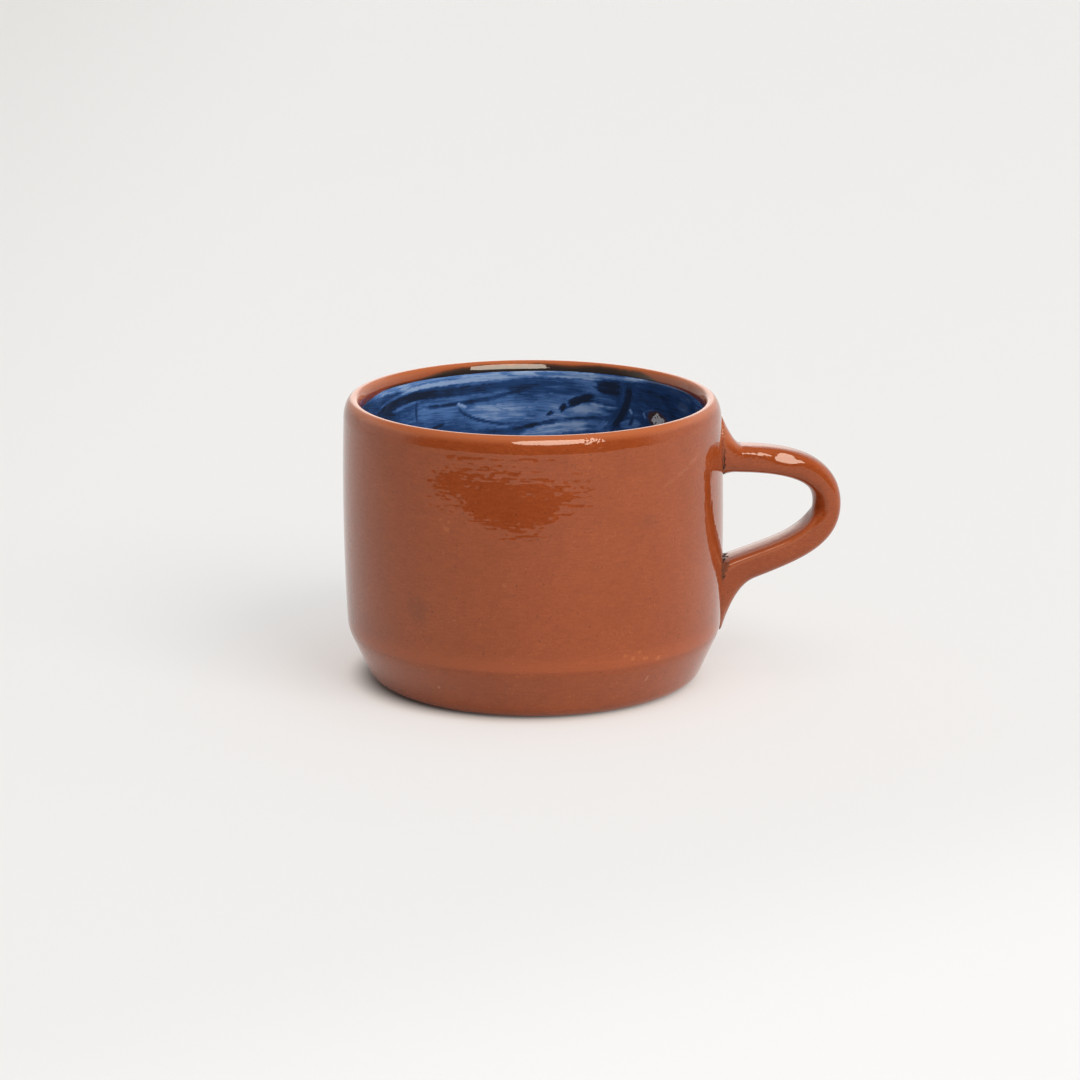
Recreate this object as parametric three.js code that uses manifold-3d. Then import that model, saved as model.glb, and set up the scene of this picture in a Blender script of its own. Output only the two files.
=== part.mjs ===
// A hand-thrown earthenware mug: a barrel cup on a bevelled foot, a brushed slip lining,
// and a pulled strap handle luted on with two pads of slip.
// Millimetres, +Z up, handle along +X. The origin is the middle of the flat base.

import * as THREE from 'three';
import { mergeVertices } from 'three/addons/utils/BufferGeometryUtils.js';
import Module from 'manifold-3d';

const wasm = await Module();
wasm.setup();

// Cup
const cupHeight = 75;
const lipDiameter = 98.3;
const bellyDiameter = 100;
const creaseDiameter = 98.7;
const creaseHeight = 13.8;
const footDiameter = 86.2;
const footRounding = 5;
const wallThickness = 4.6;
const floorThickness = 6;
const floorRounding = 10;
const lipCrown = 2.5;
const lipOuterDrop = 4;
const lipInnerDrop = 2.4;

// Lining
const liningThickness = 0.4;
const liningDrop = 3.5;
const liningClearance = 0.1;

// Handle: the middle line leaves the wall level, turns at the bend and slopes back down to the wall.
const strapWidth = 11;
const upperStrapThickness = 6.8;
const lowerStrapThickness = 8;
const handleReach = 27.9;
const upperArmDrop = 17.3;
const bendDrop = 12.7;
const lowerArmRise = 12.1;
const lowerArmSlope = THREE.MathUtils.degToRad(21);

// How far each arm runs towards the bend, and the bend towards each arm, before they turn.
const upperArmRun = 17.5;
const lowerArmRun = 16.4;
const bendRunUp = 8.9;
const bendRunDown = 9.9;

// Roots: the strap spreads up the wall as a fin and down the wall as a tail.
const finRise = 7.3;
const finRun = 4.6;
const finTaper = 1.6;
const tailDrop = 9.3;
const tailRun = 8;
const tailTaper = 2.6;
const rootWidening = 1.2;

// Slip pads between the roots and the wall
const slipThickness = 0.8;
const slipBead = 0.5;
const seatClearance = 0.3;

// Fineness of the facets
const turnSegments = 72;
const curveSteps = 3;
const strapStations = 44;
const strapSides = 20;
const padSteps = 12;

// Section shape: 2 is an ellipse, larger values are squarer.
const strapSquareness = 2.8;
const rootSquareness = 2.2;

const lipRadius = lipDiameter / 2;
const bellyRadius = bellyDiameter / 2;
const creaseRadius = creaseDiameter / 2;
const footRadius = footDiameter / 2;
const wallHeight = cupHeight - creaseHeight;
const padOffset = seatClearance + slipThickness;
const rootOffset = padOffset + seatClearance;
const upperArmHeight = cupHeight - upperArmDrop;
const bendHeight = upperArmHeight - bendDrop;
const lowerArmHeight = creaseHeight + lowerArmRise;

// Outside radius of the wall: a parabola through the crease, the belly and the lip.
function barrelRadius(height) {
  const s = (height - creaseHeight) / wallHeight;
  const crease = creaseRadius * (1 - s) * (1 - 2 * s);
  const belly = bellyRadius * 4 * s * (1 - s);
  const lip = lipRadius * s * (2 * s - 1);
  return crease + belly + lip;
}

function barrelLean(height) {
  const s = (height - creaseHeight) / wallHeight;
  const change = creaseRadius * (4 * s - 3) + bellyRadius * (4 - 8 * s) + lipRadius * (4 * s - 1);
  return change / wallHeight;
}

// Draws the barrel curve between two heights, moved outwards by offset.
function followBarrel(path, fromHeight, toHeight, offset) {
  const half = (toHeight - fromHeight) / 2;
  const control = barrelRadius(fromHeight) + barrelLean(fromHeight) * half + offset;
  path.quadraticCurveTo(control, fromHeight + half, barrelRadius(toHeight) + offset, toHeight);
}

// Draws the outside of the cup from the middle of the base to under the lip.
function followOutside(path, offset) {
  const bevelAngle = Math.atan2(creaseHeight, creaseRadius - footRadius);
  const flatRadius = footRadius - footRounding * Math.tan(bevelAngle / 2) + offset;
  path.moveTo(0, 0);
  path.lineTo(flatRadius, 0);
  path.absarc(flatRadius, footRounding, footRounding, -Math.PI / 2, bevelAngle - Math.PI / 2, false);
  path.lineTo(creaseRadius + offset, creaseHeight);
  followBarrel(path, creaseHeight, cupHeight - lipOuterDrop, offset);
}

// Draws the inside of the cup from a height on the wall down to the middle of the floor.
function followInside(path, fromHeight, inset) {
  const offset = -wallThickness - inset;
  const rounding = floorRounding - inset;
  const turnHeight = floorThickness + floorRounding;
  const turnRadius = barrelRadius(turnHeight) + offset - rounding;
  followBarrel(path, fromHeight, turnHeight, offset);
  path.absarc(turnRadius, turnHeight, rounding, 0, -Math.PI / 2, true);
  path.lineTo(0, floorThickness + inset);
}

function turned(points) {
  return new THREE.LatheGeometry(points, turnSegments).rotateX(Math.PI / 2);
}

function cupGeometry() {
  const path = new THREE.Path();
  const outerTop = cupHeight - lipOuterDrop;
  const innerTop = cupHeight - lipInnerDrop;
  const crownRadius = barrelRadius(outerTop) - lipCrown;
  const innerRadius = barrelRadius(innerTop) - wallThickness;
  followOutside(path, 0);
  path.absellipse(crownRadius, outerTop, lipCrown, lipOuterDrop, 0, Math.PI / 2, false);
  path.absellipse(crownRadius, innerTop, crownRadius - innerRadius, lipInnerDrop, Math.PI / 2, Math.PI, false);
  followInside(path, innerTop, 0);
  return turned(path.getPoints(curveSteps));
}

function liningGeometry() {
  const topHeight = cupHeight - liningDrop;
  const backInset = liningClearance;
  const faceInset = liningClearance + liningThickness;
  const back = new THREE.Path();
  back.moveTo(barrelRadius(topHeight) - wallThickness - backInset, topHeight);
  followInside(back, topHeight, backInset);
  const face = new THREE.Path();
  face.moveTo(barrelRadius(topHeight) - wallThickness - faceInset, topHeight);
  followInside(face, topHeight, faceInset);
  const backPoints = back.getPoints(curveSteps).reverse();
  return turned([...backPoints, ...face.getPoints(curveSteps)]);
}

// A filled block with the cup's outside, moved outwards, for cutting what sits against the wall.
function wallBlock(offset) {
  const path = new THREE.Path();
  followOutside(path, offset);
  path.lineTo(barrelRadius(cupHeight) + offset, cupHeight);
  path.lineTo(0, cupHeight);
  return solidOf(turned(path.getPoints(curveSteps)));
}

function strapMiddleLine() {
  const bendX = bellyRadius + handleReach;
  const point = (x, z) => new THREE.Vector3(x, 0, z);
  const upperWall = barrelRadius(upperArmHeight);
  const lowerWall = barrelRadius(lowerArmHeight);
  const upperRoot = point(upperWall, upperArmHeight);
  const lowerRoot = point(lowerWall, lowerArmHeight);
  const bend = point(bendX, bendHeight);
  const inward = point(Math.cos(lowerArmSlope), Math.sin(lowerArmSlope));
  const upperEnd = point(upperWall - wallThickness, upperArmHeight);
  const lowerEnd = lowerRoot.clone().addScaledVector(inward, -wallThickness);
  const line = new THREE.CurvePath();
  line.add(new THREE.LineCurve3(upperEnd, upperRoot));
  line.add(new THREE.CubicBezierCurve3(
    upperRoot,
    point(upperWall + upperArmRun, upperArmHeight),
    point(bendX, bendHeight + bendRunUp),
    bend,
  ));
  line.add(new THREE.CubicBezierCurve3(
    bend,
    point(bendX, bendHeight - bendRunDown),
    lowerRoot.clone().addScaledVector(inward, lowerArmRun),
    lowerRoot,
  ));
  line.add(new THREE.LineCurve3(lowerRoot, lowerEnd));
  return line;
}

// Falls from 1 at the wall to 0 at the end of the run.
function fadeFromWall(distance, run, taper) {
  const left = 1 - Math.max(distance, 0) / run;
  return Math.max(left, 0) ** taper;
}

function finFade(distance) {
  return fadeFromWall(distance, finRun, finTaper);
}

function tailFade(distance) {
  return fadeFromWall(distance, tailRun, tailTaper);
}

function squircle(value, squareness) {
  return Math.sign(value) * Math.abs(value) ** (2 / squareness);
}

// One ring of the strap: from its finger side to its outer side, which spreads at the roots.
function strapRing(line, along) {
  const centre = line.getPointAt(along);
  const travel = line.getTangentAt(along);
  const outward = new THREE.Vector3(-travel.z, 0, travel.x);
  const halfThickness = THREE.MathUtils.lerp(upperStrapThickness, lowerStrapThickness, along) / 2;
  const inner = centre.clone().addScaledVector(outward, -halfThickness);
  const outer = centre.clone().addScaledVector(outward, halfThickness);
  const distance = outer.x - barrelRadius(outer.z);
  const upper = centre.z > bendHeight;
  const fade = upper ? finFade(distance) : tailFade(distance);
  outer.z += upper ? finRise * fade : -tailDrop * fade;
  const middle = inner.clone().lerp(outer, 0.5);
  const halfDepth = outer.clone().sub(inner).multiplyScalar(0.5);
  const halfWidth = strapWidth / 2 + rootWidening * fade;
  const squareness = THREE.MathUtils.lerp(strapSquareness, rootSquareness, fade);
  const ring = [];
  for (let side = 0; side < strapSides; side += 1) {
    const angle = (side / strapSides) * 2 * Math.PI;
    const corner = middle.clone().addScaledVector(halfDepth, squircle(Math.sin(angle), squareness));
    corner.y = halfWidth * squircle(Math.cos(angle), squareness);
    ring.push(corner);
  }
  return ring;
}

// Joins rings of points into one closed skin, with a flat cap on each end.
function loft(rings) {
  const sides = rings[0].length;
  const last = (rings.length - 1) * sides;
  const index = [];
  for (let ring = 0; ring < rings.length - 1; ring += 1) {
    for (let side = 0; side < sides; side += 1) {
      const here = ring * sides + side;
      const next = ring * sides + ((side + 1) % sides);
      index.push(here, next, here + sides);
      index.push(next, next + sides, here + sides);
    }
  }
  for (let side = 1; side < sides - 1; side += 1) {
    index.push(0, side + 1, side);
    index.push(last, last + side, last + side + 1);
  }
  const geometry = new THREE.BufferGeometry();
  geometry.setFromPoints(rings.flat());
  geometry.setIndex(index);
  return geometry;
}

function handleGeometry() {
  const line = strapMiddleLine();
  const rings = [];
  for (let station = 0; station <= strapStations; station += 1) {
    rings.push(strapRing(line, station / strapStations));
  }
  const strap = solidOf(loft(rings));
  return geometryOf(strap.subtract(wallBlock(rootOffset)));
}

// A pad of slip on the wall between two heights, with a bead squeezed out around the root.
function slipPadGeometry(bottom, top) {
  const halfWidth = strapWidth / 2 + rootWidening + slipBead;
  const halfHeight = (top - bottom) / 2 + slipBead;
  const outline = new THREE.Shape();
  outline.absellipse(0, (bottom + top) / 2, halfWidth, halfHeight, 0, 2 * Math.PI, false);
  const column = new THREE.ExtrudeGeometry(outline, {
    depth: bellyDiameter,
    bevelEnabled: false,
    curveSegments: padSteps,
  });
  const alongY = new THREE.Vector3(0, 1, 0);
  const alongZ = new THREE.Vector3(0, 0, 1);
  const alongX = new THREE.Vector3(1, 0, 0);
  column.applyMatrix4(new THREE.Matrix4().makeBasis(alongY, alongZ, alongX));
  const layer = wallBlock(padOffset).subtract(wallBlock(seatClearance));
  return geometryOf(layer.intersect(solidOf(column)));
}

function upperPadGeometry() {
  const rise = finRise * finFade(padOffset);
  const half = upperStrapThickness / 2;
  return slipPadGeometry(upperArmHeight - half, upperArmHeight + half + rise);
}

function lowerPadGeometry() {
  const drop = tailDrop * tailFade(padOffset);
  const half = lowerStrapThickness / 2 / Math.cos(lowerArmSlope);
  return slipPadGeometry(lowerArmHeight - half - drop, lowerArmHeight + half);
}

function solidOf(geometry) {
  const bare = geometry.clone();
  bare.deleteAttribute('normal');
  bare.deleteAttribute('uv');
  const merged = mergeVertices(bare);
  return new wasm.Manifold(new wasm.Mesh({
    numProp: 3,
    vertProperties: merged.attributes.position.array,
    triVerts: new Uint32Array(merged.index.array),
  }));
}

function geometryOf(solid) {
  const mesh = solid.getMesh();
  const geometry = new THREE.BufferGeometry();
  geometry.setAttribute('position', new THREE.BufferAttribute(mesh.vertProperties, mesh.numProp));
  geometry.setIndex(new THREE.BufferAttribute(mesh.triVerts, 1));
  geometry.computeVertexNormals();
  return geometry;
}

const terracotta = new THREE.MeshStandardMaterial({ color: '#a0583a', roughness: 0.22, metalness: 0 });
const strapClay = new THREE.MeshStandardMaterial({ color: '#9c5434', roughness: 0.2, metalness: 0 });
const cobaltSlip = new THREE.MeshStandardMaterial({ color: '#2f4f86', roughness: 0.15, metalness: 0 });
const upperSlip = new THREE.MeshStandardMaterial({ color: '#8a4a2e', roughness: 0.35, metalness: 0 });
const lowerSlip = new THREE.MeshStandardMaterial({ color: '#8a4a2e', roughness: 0.35, metalness: 0 });

const mug = new THREE.Group();

function addPiece(name, geometry, material) {
  const mesh = new THREE.Mesh(geometry, material);
  mesh.name = name;
  mug.add(mesh);
}

addPiece('cup_body', cupGeometry(), terracotta);
addPiece('blue_lining', liningGeometry(), cobaltSlip);
addPiece('handle', handleGeometry(), strapClay);
addPiece('upper_slip_joint', upperPadGeometry(), upperSlip);
addPiece('lower_slip_joint', lowerPadGeometry(), lowerSlip);

export default mug;
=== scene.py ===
# %% [markdown]
# # A hand-thrown terracotta mug
# The real mug is a turned cup of red clay under a clear glaze, a brushed blue lining, a pulled strap
# handle, and two dabs of slip that hold the handle on. The frame holds those five pieces as plain
# solids. This lesson gives each of them its finished surface, in the same place and at the same size.

# %% Load the frame
import math

import bpy
import numpy as np
from mathutils import Matrix, Vector


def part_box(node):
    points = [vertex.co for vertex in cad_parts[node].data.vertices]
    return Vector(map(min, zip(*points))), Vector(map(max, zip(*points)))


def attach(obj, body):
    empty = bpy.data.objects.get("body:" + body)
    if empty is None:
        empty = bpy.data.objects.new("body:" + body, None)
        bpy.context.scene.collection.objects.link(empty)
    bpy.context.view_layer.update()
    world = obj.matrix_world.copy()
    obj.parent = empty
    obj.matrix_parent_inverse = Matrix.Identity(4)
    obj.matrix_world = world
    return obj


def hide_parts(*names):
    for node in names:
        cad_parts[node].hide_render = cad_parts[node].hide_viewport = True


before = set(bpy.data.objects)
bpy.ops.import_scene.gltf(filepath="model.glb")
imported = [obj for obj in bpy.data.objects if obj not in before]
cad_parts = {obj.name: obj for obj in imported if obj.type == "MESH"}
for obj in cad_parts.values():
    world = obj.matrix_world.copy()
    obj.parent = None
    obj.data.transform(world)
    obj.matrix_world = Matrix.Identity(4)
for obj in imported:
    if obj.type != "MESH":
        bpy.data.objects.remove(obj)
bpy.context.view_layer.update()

print("pieces in the frame:", sorted(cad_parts))

# %% [markdown]
# ## The cup's measures
# A potter keeps a few gauges: height, belly, crease and wall. The height and the belly are read off the
# frame, so this surface cannot drift from the solid. The rest are gauge marks taken from those two.

# %% Gauges
MM = 0.001
cup_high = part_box("cup_body")[1]
cup_height = cup_high.z
belly_radius = cup_high.x
lip_radius = belly_radius - 0.8 * MM
crease_radius = belly_radius - 0.6 * MM
crease_height = 13.8 * MM
foot_radius = belly_radius - 6.9 * MM
foot_rounding = 5.0 * MM
wall_thickness = 4.6 * MM
floor_height = 6.0 * MM
floor_rounding = 10.0 * MM
print(f"cup {cup_height / MM:.1f} mm tall, {2 * belly_radius / MM:.1f} mm across")


# %% [markdown]
# ## The wall's line
# A thrown wall is never straight: here it swells by less than a millimetre between the crease above the
# foot and the lip. A parabola through three radii gives that swelling at any height, so every piece that
# touches the wall can ask where it is.

# %% Radius of the wall at a height
def wall_radius(height):
    s = (height - crease_height) / (cup_height - crease_height)
    at_crease = crease_radius * (1 - s) * (1 - 2 * s)
    at_belly = belly_radius * 4 * s * (1 - s)
    at_lip = lip_radius * s * (2 * s - 1)
    return at_crease + at_belly + at_lip


print(f"wall radius half way up: {wall_radius(cup_height / 2) / MM:.2f} mm")

# %% [markdown]
# ## The camera
# The photograph looks down on the mug by about fifteen degrees through a long lens, with the handle turned
# slightly away. Setting the camera first gives two directions, right and away. One helper turns steps along
# them into a place, for the camera now and the lamps later. Two more put an object in the scene and stand it
# at such a place, facing a given way.

# %% Directions in the studio
camera_turn = math.radians(-5.0)
right = Vector((math.cos(camera_turn), math.sin(camera_turn), 0))
away = Vector((-math.sin(camera_turn), math.cos(camera_turn), 0))
up = Vector((0, 0, 1))


def studio(to_right, to_back, height):
    return right * to_right + away * to_back + up * height


def put_in_scene(name, data):
    made = bpy.data.objects.new(name, data)
    bpy.context.scene.collection.objects.link(made)
    return made


def stand(made, place_at, across, upward, backward):
    turned = Matrix((across, upward, backward)).transposed().to_4x4()
    made.matrix_world = Matrix.Translation(place_at) @ turned


print(f"right is {tuple(round(c, 3) for c in right)}, away is {tuple(round(c, 3) for c in away)}")

# %% Camera
frame_pixels = 1080
lens_pixels = 3788
sensor_width = 36.0
camera_pitch = math.radians(14.57)
camera_distance = 1.0
aim_right = 1.4 * MM
aim_up = 36.15 * MM

look = away * math.cos(camera_pitch) - up * math.sin(camera_pitch)
camera_up = away * math.sin(camera_pitch) + up * math.cos(camera_pitch)
camera_place = studio(aim_right, 0, aim_up) - look * camera_distance
camera_data = bpy.data.cameras.new("photo_camera")
camera_data.sensor_width = sensor_width
camera_data.lens = sensor_width * lens_pixels / frame_pixels
camera = put_in_scene("photo_camera", camera_data)
stand(camera, camera_place, right, camera_up, -look)
bpy.context.scene.camera = camera
print(f"lens {camera_data.lens:.1f} mm, camera at {tuple(round(c, 3) for c in camera_place)}")

# %% [markdown]
# ## The potter's hand
# A perfectly round cup looks machine made. On the wheel the rim goes a little oval, the wall leans a touch
# and faint ridges climb in a spiral. One function moves the points of every piece in the same way, so the
# lining and the handle stay seated on the wall.

# %% Hand-made unevenness
lean_to_left = 0.67 * MM
rim_oval, oval_turn = 0.14 * MM, -0.6
lobe_share, lobe_turn = 0.6, 1.1
rim_dip, dip_turn = 0.16 * MM, 2.2
ridge_height, ridge_pitch = 0.003 * MM, 6.3 * MM
ridges_from, ridges_to, ridges_fade = 0.22, 0.9, 0.1


def by_hand(points):
    moved = np.array(points, float)
    x, y, z = moved[..., 0], moved[..., 1], moved[..., 2]
    angle = np.arctan2(y, x)
    rise = z / cup_height
    reach = np.hypot(x, y) + 1e-9
    oval = rim_oval * rise * (np.cos(2 * angle + oval_turn) + lobe_share * np.cos(3 * angle + lobe_turn))
    ridged = np.clip((rise - ridges_from) / ridges_fade, 0, 1)
    ridged = ridged * np.clip((ridges_to - rise) / ridges_fade, 0, 1)
    ridge = ridge_height * ridged * np.sin(2 * np.pi * z / ridge_pitch + angle)
    grow = (oval + ridge) * np.clip(reach / belly_radius, 0, 1) / reach
    moved[..., 0] = x * (1 + grow) - right.x * lean_to_left * rise
    moved[..., 1] = y * (1 + grow) - right.y * lean_to_left * rise
    moved[..., 2] = z + rim_dip * rise ** 4 * np.cos(angle + dip_turn)
    return moved


print(f"the rim leans {lean_to_left / MM:.2f} mm to the left and dips by {rim_dip / MM:.2f} mm")

# %% [markdown]
# ## Skins from rings
# Cup, lining, strap and slip are all the same kind of surface: rings of points, closed by a point at each
# end. One helper joins rings into a closed mesh with smooth shading and a simple unwrapped map, and turns
# the faces outwards if the rings ran the other way.

# %% Join rings into a skin
def skin(name, rings, first_point, last_point):
    rows, around = rings.shape[:2]
    points = np.vstack([rings.reshape(-1, 3), first_point, last_point])
    here = np.arange(around)
    ahead = (here + 1) % around
    step = np.arange(rows - 1)[:, None] * around
    quads = np.stack([step + here, step + ahead, step + ahead + around, step + here + around], axis=-1)
    first, last = rows * around, rows * around + 1
    top = (rows - 1) * around
    caps = [(ahead[i], here[i], first) for i in here] + [(top + here[i], top + ahead[i], last) for i in here]
    faces = quads.reshape(-1, 4).tolist() + [tuple(int(i) for i in cap) for cap in caps]
    mesh = bpy.data.meshes.new(name)
    mesh.from_pydata(points.tolist(), [], faces)
    run = np.r_[0, np.cumsum(np.linalg.norm(np.diff(rings[:, 0], axis=0), axis=1))]
    run = run / run[-1]
    map_points = []
    for row in range(rows - 1):
        low, high = run[row], run[row + 1]
        for i in here:
            map_points += [(i, low), (i + 1, low), (i + 1, high), (i, high)]
    for i in here:
        map_points += [(i + 1, 0), (i, 0), (i + 0.5, 0)]
    for i in here:
        map_points += [(i, 1), (i + 1, 1), (i + 0.5, 1)]
    layer = mesh.uv_layers.new(name="unwrapped")
    layer.data.foreach_set("uv", (np.array(map_points, float) / (around, 1)).ravel())
    corners = points[quads.reshape(-1, 4)]
    volume = np.einsum("ij,ij->i", corners[:, 0], np.cross(corners[:, 1], corners[:, 2])).sum()
    volume += np.einsum("ij,ij->i", corners[:, 0], np.cross(corners[:, 2], corners[:, 3])).sum()
    if volume < 0:
        mesh.flip_normals()
    mesh.polygons.foreach_set("use_smooth", [True] * len(mesh.polygons))
    mesh.update()
    print(f"{name}: {len(mesh.vertices)} points")
    return put_in_scene(name, mesh)


def round_about(profile, around):
    angle = np.arange(around) * 2 * np.pi / around
    rings = np.empty((len(profile), around, 3))
    rings[..., 0] = profile[:, :1] * np.cos(angle)
    rings[..., 1] = profile[:, :1] * np.sin(angle)
    rings[..., 2] = profile[:, 1:]
    return rings


print("one ring of eight points:", round_about(np.array([[1.0, 0.0]]), 8).shape)

# %% [markdown]
# ## The cup's profile
# The potter's rib shapes one line: flat base, rounded foot edge, bevel, soft crease, swelling wall, rounded
# lip, and back down the inside to the floor. Drawing it as short arcs and curves keeps the point count low
# where the line is plain and high where the light will catch it.

# %% Draw the profile
lip_outer = (2.5 * MM, 5.6 * MM)
chamfer_drop, chamfer_slope, chamfer_softness = 2.2 * MM, 0.55, 0.18 * MM
lip_rounding, lip_rounding_drop = 0.9 * MM, 1.0 * MM
lip_end = 3.5 * MM
crease_softness = 2.2 * MM
base_from, floor_to = 0.08, 0.05
base_steps, foot_steps, bevel_steps, crease_steps, wall_steps = 12, 16, 14, 10, 90
over_steps, under_steps, inside_steps = 30, 36, 60
hollow_steps, floor_steps = 20, 24
cup_around = 300


def arc(centre, radii, start, end, steps):
    turn_by = np.radians(np.linspace(start, end, steps))
    return np.c_[centre[0] + radii[0] * np.cos(turn_by), centre[1] + radii[1] * np.sin(turn_by)]


def inner_radius(height):
    drop = np.clip(cup_height - height, 0, None)
    chamfer = chamfer_softness * np.logaddexp(0, (chamfer_drop - drop) / chamfer_softness)
    rounding = lip_rounding * np.clip(1 - np.sqrt(drop / lip_rounding_drop), 0, 1) ** 2
    return wall_radius(height) - wall_thickness + chamfer_slope * chamfer + rounding


def soft_corner(before, corner, after, steps):
    t = np.linspace(0, 1, steps)[:, None]
    return (1 - t) ** 2 * before + 2 * t * (1 - t) * corner + t ** 2 * after


def outside_line():
    bevel = math.atan2(crease_height, crease_radius - foot_radius)
    flat = foot_radius - foot_rounding * math.tan(bevel / 2)
    base = np.c_[np.linspace(base_from, 1, base_steps) * flat, np.zeros(base_steps)]
    rounded = (foot_rounding, foot_rounding)
    foot_edge = arc((flat, foot_rounding), rounded, -90, math.degrees(bevel) - 90, foot_steps)
    crease = np.array([crease_radius, crease_height])
    along_bevel = np.array([math.cos(bevel), math.sin(bevel)])
    before = crease - along_bevel * crease_softness
    after_height = crease_height + crease_softness
    after = np.array([wall_radius(after_height), after_height])
    slope = np.linspace(foot_edge[-1], before, bevel_steps)
    heights = np.linspace(after_height, cup_height - lip_outer[1], wall_steps)
    wall = np.c_[wall_radius(heights), heights]
    bend = soft_corner(before, crease, after, crease_steps)
    return np.vstack([base, foot_edge[1:], slope[1:], bend[1:], wall[1:]])


def inside_line(from_height, inset, steps):
    turn_height = floor_height + floor_rounding
    turn_radius = wall_radius(turn_height) - wall_thickness - floor_rounding
    rounding = floor_rounding - inset
    heights = np.linspace(from_height, turn_height, steps)
    wall = np.c_[wall_radius(heights) - wall_thickness - inset, heights]
    hollow = arc((turn_radius, turn_height), (rounding, rounding), 0, -90, hollow_steps)
    flat = np.linspace(turn_radius, floor_to * turn_radius, floor_steps)
    floor = np.c_[flat, np.full(floor_steps, floor_height + inset)]
    return np.vstack([wall, hollow[1:], floor[1:]])


def cup_line():
    outer_top = cup_height - lip_outer[1]
    over = arc((wall_radius(outer_top) - lip_outer[0], outer_top), lip_outer, 0, 90, over_steps)
    heights = cup_height - lip_end * np.linspace(0, 1, under_steps) ** 2
    under = np.c_[inner_radius(heights), heights]
    return np.vstack([outside_line(), over[1:], under, inside_line(heights[-1], 0, inside_steps)[1:]])


cup_rings = by_hand(round_about(cup_line(), cup_around))
cup = skin("cup_wall_and_floor", cup_rings, by_hand((0, 0, 0)), by_hand((0, 0, floor_height)))

# %% [markdown]
# ## The edge of the lining
# Inside, the potter brushed blue slip over a pale coat and stopped under the lip by eye. The upper edge sits
# a little higher on one side than on the other and wanders by tenths of a millimetre. A few heights round
# the cup, joined by straight runs, give the first; a sum of random waves gives the second.

# %% Line of the edge
edge_angles = [0, 30, 60, 90, 120, 148, 160, 178, 200, 270, 330]
edge_drops = [3.3, 2.4, 2.3, 2.6, 2.7, 2.8, 3.7, 3.9, 3.4, 2.9, 3.3]
edge_wander, edge_waves = 0.08 * MM, 24
wave_shares, wave_fade = (0.5, 1), 0.8
lining_around = 720
rng = np.random.default_rng(11)


def wandering(angle, waves, height):
    total = np.zeros_like(angle)
    for wave in range(1, waves + 1):
        swell = np.cos(wave * angle + rng.uniform(0, 2 * np.pi))
        total += swell * rng.uniform(*wave_shares) / wave ** wave_fade
    return height * total


lining_angle = np.arange(lining_around) * 2 * np.pi / lining_around
edge_drop = np.interp(np.degrees(lining_angle), edge_angles, edge_drops, period=360) * MM
lining_top = cup_height - edge_drop + wandering(lining_angle, edge_waves, edge_wander)
print(f"lining stops {edge_drop.min() / MM:.1f} to {edge_drop.max() / MM:.1f} mm under the lip")

# %% [markdown]
# ## The brushed lining
# The coat of slip is a thin skin of its own. It follows the inside of the cup, thins out towards its edge
# and dips into the clay there, so no step or gap shows. The rows lie closest near the lip, where the brush
# strokes are seen. A second, hidden side a little way into the clay closes the skin.

# %% Lining
lining_depth = 0.28 * MM
lining_sink = 0.06 * MM
edge_feather = 0.7 * MM
face_rows, back_rows = 110, 12
row_packing = 1.4


def lining_side(depth, rows):
    line = inside_line(cup_height - edge_drop.max(), depth, rows)
    rings = round_about(line, lining_around)
    turn_height = floor_height + floor_rounding
    share = 1 - np.linspace(0, 1, rows)[:, None] ** row_packing
    heights = turn_height + (lining_top - turn_height) * share
    below_edge = lining_top - heights
    thin = np.exp(-below_edge / edge_feather)
    reach = inner_radius(heights) - depth * (1 - thin) + lining_sink * thin
    rings[:rows, :, 0] = reach * np.cos(lining_angle)
    rings[:rows, :, 1] = reach * np.sin(lining_angle)
    rings[:rows, :, 2] = heights
    return rings


lining_face = lining_side(lining_depth, face_rows)
lining_back = lining_side(-lining_sink, back_rows)
lining_rings = by_hand(np.concatenate([lining_back[::-1], lining_face[1:]]))
back_middle = by_hand((0, 0, floor_height - lining_sink))
face_middle = by_hand((0, 0, floor_height + lining_depth))
lining = skin("brushed_lining", lining_rings, back_middle, face_middle)
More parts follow.
